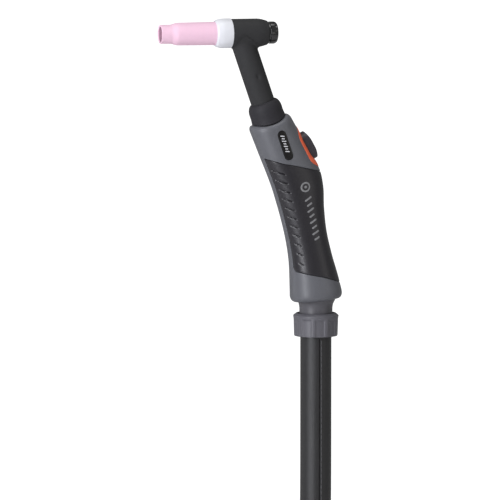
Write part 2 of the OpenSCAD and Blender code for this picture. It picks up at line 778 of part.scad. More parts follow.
// Local Z runs out of the power plug
plug_at = power_path[8];
plug_turn = 174;
plug_l = 62;
pin_r = 6.5;
pin_l = 27;
pin_root_r = 6.1;
pin_root_l = 11;
module on_plug() {
    translate(plug_at) rotate([0, 90, plug_turn]) children();
}
module plug_grip() {
    color([0.1, 0.1, 0.1]) on_plug() difference() {
        rotate_extrude() polygon([
            [0, 0], [7.4, 0], [8, 0.8], [9, 16], [12.4, 22], [boot_r, 24], [boot_r, plug_l - 1],
            [boot_r - 1, plug_l], [pin_root_r + 0.05, plug_l], [pin_root_r + 0.05, plug_l - 14],
            [0, plug_l - 14]
        ]);
        for (i = [0 : 4])
            translate([0, 0, 30 + 5 * i]) difference() {
                cylinder(r = boot_r + 1, h = 2);
                translate([0, 0, -1]) cylinder(r = boot_r - 0.7, h = 4);
            }
    }
}
module plug_pin() {
    color([0.8, 0.62, 0.28]) on_plug() difference() {
        union() {
            rotate_extrude() polygon([
                [0, plug_l - 13.8], [pin_root_r, plug_l - 13.8], [pin_root_r, plug_l + pin_root_l],
                [pin_r, plug_l + pin_root_l], [pin_r, plug_l + pin_l - 1],
                [pin_r - 1, plug_l + pin_l], [0, plug_l + pin_l]
            ]);
            translate([-2, 0, plug_l + 1]) cube([4, pin_r + 2, 5]);
        }
        translate([0, 0, plug_l + 2]) cylinder(r = 2, h = pin_l);
    }
}

control_path = [
    [-22.6, 44.2, -432], [-29.7, 61.2, -437], [-41.6, 75.7, -441], [-58, 85.1, -442.2],
    [-76.4, 89.7, -442.2], [-93, 89.4, -441], [-109, 87.4, -438.8], [-125, 85, -437]
];
module control_tail() {
    color([0.08, 0.08, 0.08]) sweep(control_path, control_r, 8);
}
control_at = control_path[7];
control_turn = 188.5;
control_plug_r = 8;
control_plug_l = 38;
module on_control() {
    translate(control_at) rotate([0, 90, control_turn]) children();
}
module control_plug() {
    r = control_plug_r;
    l = control_plug_l;
    color([0.12, 0.12, 0.13]) on_control() difference() {
        rotate_extrude() polygon([
            [0, 0], [3.6, 0], [4.2, 0.8], [4.8, 9], [r - 0.8, 12], [r, 13], [r, l - 0.6],
            [r - 0.6, l], [6.4, l], [6.4, l - 8], [0, l - 8]
        ]);
        for (y = [-2.4, 2.4]) translate([0, y, l - 14]) cylinder(r = 1.05, h = 8);
    }
}
module control_pins() {
    color([0.85, 0.72, 0.4]) on_control() for (y = [-2.4, 2.4])
        translate([0, y, control_plug_l - 13.5]) cylinder(r = 1, h = 12.5);
}

handle_left();
handle_right();
grip_left();
grip_right();
badges();
handle_screws();
switch_bezel();
microswitch();
head_shell();
head_core();
neck_tube();
neck_boot();
collet_body();
collet();
crimp_ferrule();
inner_cable();
cap_oring();
back_cap();
cup_gasket();
gas_cup();
electrode();
switch_button();
knuckle_ball();
cover_end();
clamp_ring();
gland_nut();
lead_drop();
lead_coil();
lead_tail();
coil_ties();
lead_boot();
power_tail();
plug_grip();
plug_pin();
control_tail();
control_plug();
control_pins();
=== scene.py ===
import math
import bmesh
import bpy
import numpy as np
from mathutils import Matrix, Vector
from mathutils.bvhtree import BVHTree


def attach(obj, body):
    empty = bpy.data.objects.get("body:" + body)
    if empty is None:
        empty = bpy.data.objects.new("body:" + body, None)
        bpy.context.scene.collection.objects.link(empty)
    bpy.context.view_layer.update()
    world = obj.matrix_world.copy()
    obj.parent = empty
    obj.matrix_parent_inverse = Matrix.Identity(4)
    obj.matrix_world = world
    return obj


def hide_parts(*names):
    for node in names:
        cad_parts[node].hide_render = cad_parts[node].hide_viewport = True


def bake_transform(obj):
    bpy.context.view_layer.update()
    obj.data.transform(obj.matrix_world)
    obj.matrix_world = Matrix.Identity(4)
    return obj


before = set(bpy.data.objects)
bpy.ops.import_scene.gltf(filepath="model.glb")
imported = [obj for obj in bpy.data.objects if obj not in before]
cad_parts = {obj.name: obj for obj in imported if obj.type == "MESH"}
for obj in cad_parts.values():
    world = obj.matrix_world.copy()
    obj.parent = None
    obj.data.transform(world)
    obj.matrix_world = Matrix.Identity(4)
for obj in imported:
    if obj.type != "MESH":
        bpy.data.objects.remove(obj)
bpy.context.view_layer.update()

MM = 0.001
scene = bpy.context.scene


# ---------- small helpers; shapes are worked out in millimetres ----------
def unit(v):
    v = np.asarray(v, float)
    return v / np.linalg.norm(v, axis=-1, keepdims=True)


def smooth(t):
    t = np.clip(t, 0, 1)
    return t * t * (3 - 2 * t)


def linked(name, data):
    obj = bpy.data.objects.new(name, data)
    scene.collection.objects.link(obj)
    return obj


def aimed(name, data, back, location):
    """A camera or a light at a location, which looks the opposite way from back."""
    obj = linked(name, data)
    obj.rotation_mode = "QUATERNION"
    obj.rotation_quaternion = (-back).to_track_quat("-Z", "Y")
    obj.location = location
    return obj


def new_object(name, verts, faces, crease=35):
    """A mesh object from points in millimetres."""
    mesh = bpy.data.meshes.new(name)
    mesh.from_pydata((np.asarray(verts, float) * MM).tolist(), [], faces)
    mesh.validate()
    obj = linked(name, mesh)
    tidy(obj, crease)
    return obj


def piece(name, verts, faces, body, stands_for=(), crease=35):
    """A new object riding on a CAD body. Without one, later lines say what it rides on."""
    obj = new_object(name, verts, faces, crease)
    if body:
        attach(obj, body)
    if stands_for:
        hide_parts(*stands_for)
    return obj


def tidy(obj, crease=35):
    """Outward faces, smooth shading, and sharp edges above an angle in degrees."""
    bm = bmesh.new()
    bm.from_mesh(obj.data)
    bmesh.ops.recalc_face_normals(bm, faces=bm.faces)
    bm.to_mesh(obj.data)
    bm.free()
    for p in obj.data.polygons:
        p.use_smooth = True
    obj.data.set_sharp_from_angle(angle=math.radians(crease))


def grid_faces(m, n, closed_rows=False, closed_cols=False, start=0):
    """Quads over m rows of n points."""
    out = []
    for i in range(m if closed_rows else m - 1):
        for j in range(n if closed_cols else n - 1):
            a, b = i * n + j, i * n + (j + 1) % n
            c, d = ((i + 1) % m) * n + (j + 1) % n, ((i + 1) % m) * n + j
            out.append((start + a, start + b, start + c, start + d))
    return out


def capped(m, n, start=0):
    """Faces of m closed rings of n points, with a face over each end."""
    last = start + (m - 1) * n
    return grid_faces(m, n, closed_cols=True, start=start) + [
        tuple(range(start, start + n))[::-1], tuple(range(last, last + n))]


def rounded(profile, closed=False, steps=4):
    """Rounds a profile's corners: each point is (radius, height, rounding)."""
    pts = [np.array(p[:2], float) for p in profile]
    r = [p[2] if len(p) > 2 else 0 for p in profile]
    out = []
    n = len(pts)
    for i in range(n):
        if r[i] <= 0 or (not closed and i in (0, n - 1)):
            out.append(pts[i])
            continue
        a, b = pts[i - 1] - pts[i], pts[(i + 1) % n] - pts[i]
        la, lb = np.linalg.norm(a), np.linalg.norm(b)
        k = min(r[i], 0.48 * la, 0.48 * lb)
        pa, pb = pts[i] + a / la * k, pts[i] + b / lb * k
        for t in np.linspace(0, 1, steps + 1):
            out.append((1 - t) ** 2 * pa + 2 * t * (1 - t) * pts[i] + t * t * pb)
    return np.array(out)


def turned(profile, place, n=96, closed=True):
    """Points and faces of a profile turned about Z. A radius of 0 closes an end."""
    p = np.asarray(profile, float)
    ang = np.linspace(0, 2 * math.pi, n, endpoint=False)
    verts, faces, rows = [], [], []
    for r, h in p:
        if r < 1e-6:
            rows.append([len(verts)])
            verts.append((0, 0, h))
        else:
            rows.append(list(range(len(verts), len(verts) + n)))
            verts += [(r * math.cos(a), r * math.sin(a), h) for a in ang]
    pairs = list(zip(rows, rows[1:])) + ([(rows[-1], rows[0])] if closed else [])
    for a, b in pairs:
        for j in range(n):
            k = (j + 1) % n
            q = [a[j % len(a)], a[k % len(a)], b[k % len(b)], b[j % len(b)]]
            q = [v for i, v in enumerate(q) if v not in q[:i]]
            if len(q) > 2:
                faces.append(tuple(q))
    return place(np.array(verts)), faces


def lathe(name, profile, place, body, stands_for=(), n=96, closed=True):
    verts, faces = turned(profile, place, n, closed)
    return piece(name, verts, faces, body, stands_for)


def at_radius(v, radius):
    """The same points moved in or out from the Z axis to these radii. Points on the axis stay."""
    r = np.hypot(v[:, 0], v[:, 1])
    k = np.where(r > 1e-6, radius / np.maximum(r, 1e-6), 1)
    return v * np.stack([k, k, np.ones(len(v))], 1)


def from_ridge(v, phase):
    """Degrees from the middle of the nearest of ten even sectors, from 0 to 18."""
    angle = np.degrees(np.arctan2(v[:, 1], v[:, 0]))
    return np.abs((angle / 36.0 + phase) % 1 - 0.5) * 36


def placed(origin, tilt_y=0.0, turn_z=0.0):
    """A frame turned about Y, then about Z, then moved."""
    a, b = math.radians(tilt_y), math.radians(turn_z)
    ry = np.array([[math.cos(a), 0, math.sin(a)], [0, 1, 0], [-math.sin(a), 0, math.cos(a)]])
    rz = np.array([[math.cos(b), -math.sin(b), 0], [math.sin(b), math.cos(b), 0], [0, 0, 1]])
    m = rz @ ry
    o = np.asarray(origin, float)
    return lambda v: np.asarray(v, float) @ m.T + o


def cut(obj, *cutters):
    """Takes the cutters out of a piece, then throws them away."""
    for c in cutters:
        m = obj.modifiers.new("cut", "BOOLEAN")
        m.operation, m.solver, m.object = "DIFFERENCE", "EXACT", c
    dg = bpy.context.evaluated_depsgraph_get()
    mesh = bpy.data.meshes.new_from_object(obj.evaluated_get(dg))
    obj.modifiers.clear()
    old = obj.data
    obj.data = mesh
    bpy.data.meshes.remove(old)
    for c in cutters:
        bpy.data.objects.remove(c)
    tidy(obj)


# ---------- sizes that the CAD also uses ----------
NECK_TILT, NECK_L, BUTT_TILT, HANDLE_L = 19.0, 69.0, 5.2, 141.6
RIM = np.array([-23.8, 0, 67.2])
BALL = np.array([13.2, 0, -63.7])
HEAD_X = RIM[0] - NECK_L * math.sin(math.radians(NECK_TILT))
HEAD_Z = RIM[2] + NECK_L * math.cos(math.radians(NECK_TILT))
BARREL_X0, BARREL_X1 = HEAD_X - 7.2, HEAD_X + 21.2
GASKET_X0 = BARREL_X0 - 12.4
CUP_X1 = GASKET_X0 + 4.8
CUP_X0 = CUP_X1 - 47.0
CAP_X1 = BARREL_X1 + 7.2
BARREL_R, NECK_R, GASKET_R = 10.7, 9.0, 11.1
LEAD_R = 11.85
on_head = placed([0, 0, HEAD_Z], 90)
on_neck = placed([HEAD_X, 0, HEAD_Z], 180 - NECK_TILT)
on_ball = placed(BALL)
on_switch = placed([5.7, 0, 46.7], 61)
on_plug = placed([-178, 52, -382.7], 90, 174)
on_control = placed([-125, 85, -437], 90, 188.5)
on_boot = placed([-15.5, 8.5, -432], 90, 110)


# ---------- camera ----------
AZIMUTH, ELEVATION, DISTANCE = math.radians(-15.7), math.radians(5.3), 5.0
AIM = Vector((-0.0383, 0, -0.0306))
SENSOR, LENS = 36, 480
back = Vector((
    math.sin(AZIMUTH) * math.cos(ELEVATION),
    -math.cos(AZIMUTH) * math.cos(ELEVATION),
    math.sin(ELEVATION),
))
camera_data = bpy.data.cameras.new("camera")
camera_data.sensor_width = SENSOR
camera_data.lens = LENS
camera_data.clip_end = 100
scene.camera = aimed("camera", camera_data, back, AIM + back * DISTANCE)
scene.view_settings.view_transform = "Standard"


# ---------- materials ----------
def srgb(r, g, b):
    return tuple(((c / 255 + 0.055) / 1.055) ** 2.4 if c > 10 else c / 255 / 12.92 for c in (r, g, b))


ROUGH_SPREAD, COAT_ROUGHNESS = 0.08, 0.08


def put(node, values):
    """Sets a shader node's inputs, by name or by number."""
    for key, value in values.items():
        node.inputs[key].default_value = value


def node_tools(tree):
    """new(kind, inputs) makes a node with these inputs set, and link joins two sockets."""
    def new(kind, inputs=None):
        node = tree.nodes.new("ShaderNode" + kind)
        put(node, inputs or {})
        return node
    return new, tree.links.new


def material(name, color, rough=0.5, metal=0.0, spec=0.5, mottle=0.08, mottle_size=4.0, grain=0.15,
             grain_size=0.5, grain_depth=0.05, coat=0.0, weave=None):
    """A plain colour broken up by soft mottling, a fine surface grain and uneven roughness. Sizes in mm."""
    mat = bpy.data.materials.new(name)
    mat.use_nodes = True
    new, link = node_tools(mat.node_tree)
    shader = mat.node_tree.nodes["Principled BSDF"]
    put(shader, {"Metallic": metal, "Specular IOR Level": spec, "Coat Weight": coat,
                 "Coat Roughness": COAT_ROUGHNESS})
    coords = new("TexCoord")

    def noise(size, detail=3.0):
        node = new("TexNoise", {"Scale": 1000.0 / size, "Detail": detail})
        link(coords.outputs["Object"], node.inputs["Vector"])
        return node.outputs["Fac"]

    mix = new("Mix")
    mix.data_type = "RGBA"
    put(mix, {6: (*[c * (1 - mottle) for c in color], 1),
              7: (*[min(1, c * (1 + mottle)) for c in color], 1)})
    link(noise(mottle_size), mix.inputs[0])
    link(mix.outputs[2], shader.inputs["Base Color"])
    spread = new("MapRange", {"To Min": max(0.02, rough - ROUGH_SPREAD),
                              "To Max": min(1.0, rough + ROUGH_SPREAD)})
    link(noise(mottle_size * 0.4), spread.inputs["Value"])
    link(spread.outputs["Result"], shader.inputs["Roughness"])
    height = noise(grain_size, 2.0)
    if weave:
        for direction in ("X", "Y"):
            wave = new("TexWave", {"Scale": weave, "Distortion": 0.6})
            wave.bands_direction = direction
            link(coords.outputs["UV"], wave.inputs["Vector"])
            total = new("Math")
            total.operation = "ADD"
            link(height, total.inputs[0])
            link(wave.outputs["Fac"], total.inputs[1])
            height = total.outputs["Value"]
    bump = new("Bump", {"Strength": grain, "Distance": grain_depth * MM})
    link(height, bump.inputs["Height"])
    link(bump.outputs["Normal"], shader.inputs["Normal"])
    return mat


M = {
    "handle": material("handle_grey", srgb(94, 95, 100), 0.42, mottle=0.03, grain_size=0.35, grain=0.35),
    "grip": material("grip_black", srgb(32, 30, 35), 0.36, mottle=0.08, grain_size=0.5, grain=0.3, spec=0.55),
    "mark": material("mark_grey", srgb(128, 128, 130), 0.6, mottle=0.05, grain_size=0.3),
    "badge": material("badge_black", srgb(16, 14, 15), 0.3, mottle=0.03, grain=0.05, spec=0.4),
    "badge_line": material("badge_light", srgb(205, 205, 208), 0.35, mottle=0.04, grain_size=0.3),
    "bezel": material("bezel_orange", srgb(238, 104, 66), 0.42, mottle=0.03, grain_size=0.4, grain=0.2),
    "button": material("button_black", srgb(48, 44, 50), 0.38, mottle=0.05, grain_size=0.3, grain=0.3),
    "head": material("head_rubber", srgb(49, 49, 50), 0.68, mottle=0.07, grain_size=0.6, grain=0.35,
                     spec=0.22),
    "boot": material("boot_rubber", srgb(44, 43, 47), 0.6, mottle=0.06, grain_size=0.6, grain=0.3, spec=0.25),
    "gasket": material("gasket_white", srgb(226, 227, 232), 0.4, mottle=0.02, grain_size=0.7, grain=0.12),
    "cup": material("cup_ceramic", srgb(243, 203, 223), 0.62, mottle=0.025, grain_size=0.35, grain=0.3,
                    mottle_size=2.5, spec=0.35),
    # the cup's own pink darkened for its bore: painted shade, with a rougher finish
    "cup_bore_shade": material("cup_bore_shade", srgb(186, 146, 165), 0.75, mottle=0.06, grain_size=0.35, spec=0.2),
    "cap": material("cap_black", srgb(28, 28, 29), 0.16, mottle=0.04, grain=0.08, coat=0.5),
    "oring": material("oring_black", srgb(18, 18, 18), 0.4),
    "copper": material("core_copper", (0.62, 0.34, 0.17), 0.32, metal=1.0, mottle=0.12, grain_size=0.4,
                       grain=0.2),
    "brass": material("pin_brass", (0.71, 0.5, 0.2), 0.28, metal=1.0, mottle=0.1, grain_size=0.4, grain=0.2),
    "tungsten": material("tungsten", (0.42, 0.43, 0.45), 0.3, metal=1.0, mottle=0.1, grain_size=0.2,
                         grain=0.3),
    "steel": material("screw_steel", (0.5, 0.5, 0.52), 0.3, metal=1.0, mottle=0.1, grain_size=0.3, grain=0.2),
    "knuckle": material("knuckle_grey", srgb(84, 83, 88), 0.42, mottle=0.03, grain_size=0.35, grain=0.3),
    "nut": material("nut_grey", srgb(92, 91, 97), 0.42, mottle=0.03, grain_size=0.35, grain=0.35),
    "ring": material("ring_nylon", srgb(214, 212, 200), 0.5, mottle=0.04),
    "cover": material("lead_cover", srgb(31, 31, 32), 0.4, mottle=0.1, mottle_size=7, grain_size=0.9,
                      grain=0.3, grain_depth=0.1, weave=550, spec=0.55),
    "seam": material("seam_thread", srgb(98, 98, 101), 0.7, mottle=0.1, grain_size=0.3, grain=0.5),
    "cord": material("cord_rubber", srgb(34, 34, 35), 0.45, mottle=0.06, grain_size=0.8, grain=0.2),
    "moulded": material("moulded_black", srgb(38, 38, 39), 0.5, mottle=0.06, grain_size=0.5, grain=0.35),
    "strap": material("strap_black", srgb(30, 30, 32), 0.75, mottle=0.15, grain_size=0.5, grain=0.8,
                      grain_depth=0.15),
    "case": material("switch_case", srgb(30, 30, 34), 0.45, mottle=0.05),
}


def paint(obj, key):
    obj.data.materials.clear()
    obj.data.materials.append(M[key])
    return obj


# ---------- cords ----------
CURVE_STEPS = 10
UV_RADIUS = 12


def distances(path):
    """How far along the line each of its points is."""
    return np.concatenate([[0], np.cumsum(np.linalg.norm(np.diff(path, axis=0), axis=1))])


def catmull(points):
    """A smooth curve through the points."""
    p = np.asarray(points, float)
    p = np.vstack([2 * p[0] - p[1], p, 2 * p[-1] - p[-2]])
    out = []
    for i in range(1, len(p) - 2):
        t = np.linspace(0, 1, CURVE_STEPS, endpoint=False)[:, None]
        a, b, c, d = p[i - 1], p[i], p[i + 1], p[i + 2]
        out.append(0.5 * (2 * b + (c - a) * t + (2 * a - 5 * b + 4 * c - d) * t * t
                          + (3 * b - a - 3 * c + d) * t ** 3))
    return np.vstack([*out, p[-2:-1]])


def even(path, gap):
    """The same line with its points a set distance apart."""
    step = np.linalg.norm(np.diff(path, axis=0), axis=1)
    keep = np.concatenate([[True], step > 1e-9])
    path = path[keep]
    run = distances(path)
    count = max(2, int(round(run[-1] / gap)))
    at = np.linspace(0, run[-1], count + 1)
    return np.stack([np.interp(at, run, path[:, k]) for k in range(3)], 1), run[-1]


def carried(path, side):
    """Frames along a line that don't twist: (side, up) at each point."""
    t = unit(np.gradient(path, axis=0))
    s = np.asarray(side, float)
    sides = []
    for d in t:
        s = s - d * (s @ d)
        s = s / np.linalg.norm(s)
        sides.append(s)
    sides = np.array(sides)
    return sides, np.cross(t, sides)


def tube(name, path, radii, side):
    """A closed tube along path. radii(i) gives ring i's radii, and radii(None) the angles they are at.
    Its UVs are in metres, as if it were UV_RADIUS thick."""
    m = len(path)
    sides, ups = carried(path, side)
    angles = radii(None)
    n = len(angles)
    verts = np.zeros((m, n, 3))
    for i in range(m):
        r = radii(i)
        verts[i] = (path[i] + (r * np.cos(angles))[:, None] * sides[i]
                    + (r * np.sin(angles))[:, None] * ups[i])
    obj = piece(name, verts.reshape(-1, 3), capped(m, n), None, crease=50)
    run = distances(path)
    uv = obj.data.uv_layers.new(name="UVMap")
    v_uv = np.zeros((m * n, 2))
    v_uv[:, 0] = np.tile(angles * UV_RADIUS * MM, m)
    v_uv[:, 1] = np.repeat(run * MM, n)
    loops = np.zeros(len(obj.data.loops), np.int32)
    obj.data.loops.foreach_get("vertex_index", loops)
    uv.data.foreach_set("uv", v_uv[loops].astype(np.float32).ravel())
    return obj


DROP = [
    [13.2, 0, -98], [13.2, 0, -130], [13.2, 0, -162], [13.2, 0, -194], [13, 0, -228],
    [13, 3.5, -263], [12.5, 13.5, -297], [9.5, 30, -328], [2, 51, -355.5], [-12, 74.5, -377.5],
    [-34, 96.5, -394.5], [-63, 113, -404.5], [-97, 121.5, -408],
]
TAIL = [
    [-99, -121.5, -432], [-66.5, -113, -432], [-39, -94, -432], [-19, -66.5, -432],
    [-10, -34, -432], [-10.5, -12, -432], [-15.5, 8.5, -432],
]
POWER = [
    [-31.8, 40.9, -432], [-38.6, 57, -431], [-50, 70, -427], [-67, 78, -419.5], [-88, 78.5, -409.5],
    [-109.5, 72, -399], [-131.5, 61.5, -389.5], [-154.5, 54.2, -384], [-178, 52, -382.7],
]
CONTROL = [
    [-22.6, 44.2, -432], [-29.7, 61.2, -437], [-41.6, 75.7, -441], [-58, 85.1, -442.2],
    [-76.4, 89.7, -442.2], [-93, 89.4, -441], [-109, 87.4, -438.8], [-125, 85, -437],
]
COIL_X, TURN_IN, TURN_OUT, UPPER, LOWER = -108.8, 122.0, 146.0, -408.0, -432.0
COIL_FROM, COIL_TO, COIL_STEP = 84.5, 1354.6, 2.0
# where the coil changes turn or layer: the angle at which it starts, and the degrees that it takes
GO_OUT, GO_DOWN, GO_IN = (344, 52), (682, 50), (1029, 49)


def coil_line():
    """Four turns in two layers: inner then outer on top, outer then inner below."""
    a = np.arange(COIL_FROM, COIL_TO, COIL_STEP)

    def change(start, span):
        return smooth((a - start) / span)
    r = TURN_IN + (TURN_OUT - TURN_IN) * (change(*GO_OUT) - change(*GO_IN))
    z = UPPER + (LOWER - UPPER) * change(*GO_DOWN)
    t = np.radians(a)
    return np.stack([COIL_X + r * np.cos(t), r * np.sin(t), z], 1)


def relaxed(path, passes):
    """The same line with its small kinks evened out. The first and last few points are held."""
    path = path.copy()
    for _ in range(passes):
        path[3:-3] = (path[2:-4] + path[3:-3] + path[4:-2]) / 3
    return path


LEAD_STEP, RELAX_PASSES = 5.0, 8
lead_path, _ = even(np.vstack([catmull(DROP)[:-1], coil_line()[1:-1], catmull(TAIL)]), LEAD_STEP)
lead_path, lead_length = even(relaxed(lead_path, RELAX_PASSES), LEAD_STEP)
COVER_R = LEAD_R - 0.1
SEAM = math.radians(90)
LAP_RISE, LAP_WIDTH, GROOVE_DEPTH, GROOVE_AT, GROOVE_WIDTH = 0.08, 7.5, 0.85, -1.5, 1.5
cover_angles = np.sort(np.concatenate([
    np.linspace(0, 2 * math.pi, 44, endpoint=False) + 0.02,
    SEAM - np.radians([-4.4, -2.9, -1.9, -1.1, -0.4, 0.5, 1.4, 3.4, 6.2, 8.0, 9.4]),
]))


def cover_radius(i):
    """The cover closes along one side: a groove, and beside it a very slightly raised lap. Both are
    placed in degrees from the seam."""
    if i is None:
        return cover_angles
    d = np.degrees(SEAM - cover_angles)
    r = np.full(len(cover_angles), COVER_R)
    r += LAP_RISE * smooth(d / 0.8) * (1 - smooth((d - LAP_WIDTH) / 1.8))
    r -= GROOVE_DEPTH * np.exp(-((d - GROOVE_AT) / GROOVE_WIDTH) ** 2)
    return r


lead = paint(tube("lead", lead_path, cover_radius, (1, 0, 0)), "cover")
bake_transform(lead)
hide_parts("lead_drop", "lead_coil", "lead_tail")


def round_radius(r, n):
    angles = np.linspace(0, 2 * math.pi, n, endpoint=False)
    return lambda i: angles if i is None else np.full(n, r)


# ---------- stitches along the cover's seam ----------
STITCH_ANGLE = SEAM - math.radians(5.0)
STITCH_FROM, STITCH_TO, STITCH_GAP, STITCH_SUNK = 3.0, 396.0, 4.2, 0.16
# each ring of a stitch: how far along it lies, and its half width
STITCH_RINGS = ((-1.95, 0.04), (-1.7, 0.22), (-1.0, 0.28), (1.0, 0.28), (1.7, 0.22), (1.95, 0.04))


def seam_stitches():
    sides, ups = carried(lead_path, (1, 0, 0))
    run = distances(lead_path)
    tangents = unit(np.gradient(lead_path, axis=0))
    verts, faces = [], []
    ring = np.linspace(0, math.pi, 5)
    for s in np.arange(STITCH_FROM, STITCH_TO, STITCH_GAP):
        def at(v, s=s):
            return np.array([np.interp(s, run, v[:, k]) for k in range(3)])
        c, side, up, along = at(lead_path), unit(at(sides)), unit(at(ups)), unit(at(tangents))
        out = side * math.cos(STITCH_ANGLE) + up * math.sin(STITCH_ANGLE)
        across = np.cross(along, out)
        rows = []
        for u, w in STITCH_RINGS:
            base = c + out * (LEAD_R - STITCH_SUNK) + along * u
            rows.append([base + across * w * math.cos(q) + out * w * 0.9 * math.sin(q) for q in ring]
                        + [base - out * 0.25])
        faces += capped(len(rows), len(rows[0]), len(verts))
        verts += [v for r in rows for v in r]
    obj = piece("seam_stitches", verts, faces, None)
    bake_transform(obj)
    return paint(obj, "seam")


stitches = seam_stitches()


# ---------- the handle's surface ----------
SIDES = ((-1, "left"), (1, "right"))
SQUARENESS = 2.2


def tilted(angle):
    """A direction in the symmetry plane, this many degrees forward of straight down."""
    a = math.radians(angle)
    return np.array([math.sin(a), 0, -math.cos(a)])


BUTT_DIR = tilted(BUTT_TILT)
BUTT = BALL + 5.5 * BUTT_DIR
PULL = 0.4 * np.linalg.norm(BUTT - RIM)
SPINE = [RIM, RIM + PULL * tilted(NECK_TILT), BUTT - PULL * BUTT_DIR, BUTT]
SECTIONS = np.array([
    [0, 16.3, 15.8, 15.8], [20, 15.4, 19.9, 15.4], [45, 14.6, 24.1, 15], [60, 15, 22.6, 15],
    [76, 15.5, 18.3, 14.8], [94, 16.1, 15.4, 14.9], [112, 17.1, 15.6, 16], [128, 18.8, 17.9, 17.6],
    [142, 20.2, 20.2, 18.8],
])


def spine(s):
    """Point, direction and rearward direction at distances s."""
    t = (np.asarray(s, float) / HANDLE_L)[..., None]
    u = 1 - t
    a, b, c, d = SPINE
    p = u ** 3 * a + 3 * u * u * t * b + 3 * u * t * t * c + t ** 3 * d
    g = unit(3 * u * u * (b - a) + 6 * u * t * (c - b) + 3 * t * t * (d - c))
    return p, g, np.stack([-g[..., 2], 0 * g[..., 0], g[..., 0]], -1)


def section(s, k):
    """One column of SECTIONS at distances s: 1 is the front, 2 the rear, 3 half the width."""
    s = np.asarray(s, float)
    x, y = SECTIONS[:, 0], SECTIONS[:, k]
    i = np.clip(np.searchsorted(x, s, side="right") - 1, 0, len(x) - 2)
    h = x[i + 1] - x[i]
    u = (s - x[i]) / h
    lo, hi = np.maximum(np.arange(len(x)) - 1, 0), np.minimum(np.arange(len(x)) + 1, len(x) - 1)
    m = (y[hi] - y[lo]) / (x[hi] - x[lo])
    return ((2 * u ** 3 - 3 * u * u + 1) * y[i] + (u ** 3 - 2 * u * u + u) * h * m[i]
            + (3 * u * u - 2 * u ** 3) * y[i + 1] + (u ** 3 - u * u) * h * m[i + 1])


def skin(s, a, inset=0.0):
    """A point of the handle's surface: a degrees round from the rear, inset millimetres under it."""
    s, a, inset = np.broadcast_arrays(np.asarray(s, float), np.asarray(a, float), np.asarray(inset, float))
    p, _, across = spine(s)
    c, w = np.cos(np.radians(a)), np.sin(np.radians(a))
    k = 2 / SQUARENESS
    front = np.where(c < 0, section(s, 1), section(s, 2)) - inset
    n = front * np.sign(c) * np.abs(c) ** k
    y = (section(s, 3) - inset) * np.sign(w) * np.abs(w) ** k
    return p + n[..., None] * across + np.stack([0 * y, y, 0 * y], -1)


def round_off(d, length, depth):
    """How far an edge is rounded in, d millimetres from its end."""
    q = np.clip((length - np.maximum(d, 0)) / length, 0, 1)
    return depth * (1 - np.sqrt(1 - q * q))


def rim_dip(a):
    return 2.4 * np.sin(np.radians(a)) ** 2


def grip_top(a):
    c = np.cos(np.radians(a))
    return 32.6 + 0.7 * np.where(c < 0, 14.8, 22.5) * c


def grip_bottom(a):
    c = np.cos(np.radians(a))
    corner = 3.0 * np.clip((np.asarray(a, float) - 147) / 13, 0, 1) ** 2.6
    return 125 + 0.4 * np.where(c < 0, 16, 18) * c - corner


GRIP_TO = 160.0
SUNK = 1.6
# the edge of the inserts' seat: distance outside it, and depth
SEAT_EDGE = ((0.3, 0.06), (0.16, 0.3), (0.12, SUNK))
NOSE_ROUND, BUTT_ROUND, WALL = 3.2, 4.6, 4
SOCKET_R, LIP_R, LIP_BELOW, CABLE_BORE, NECK_BORE = 15.85, 15.3, 5.5, 9.4, 9.7


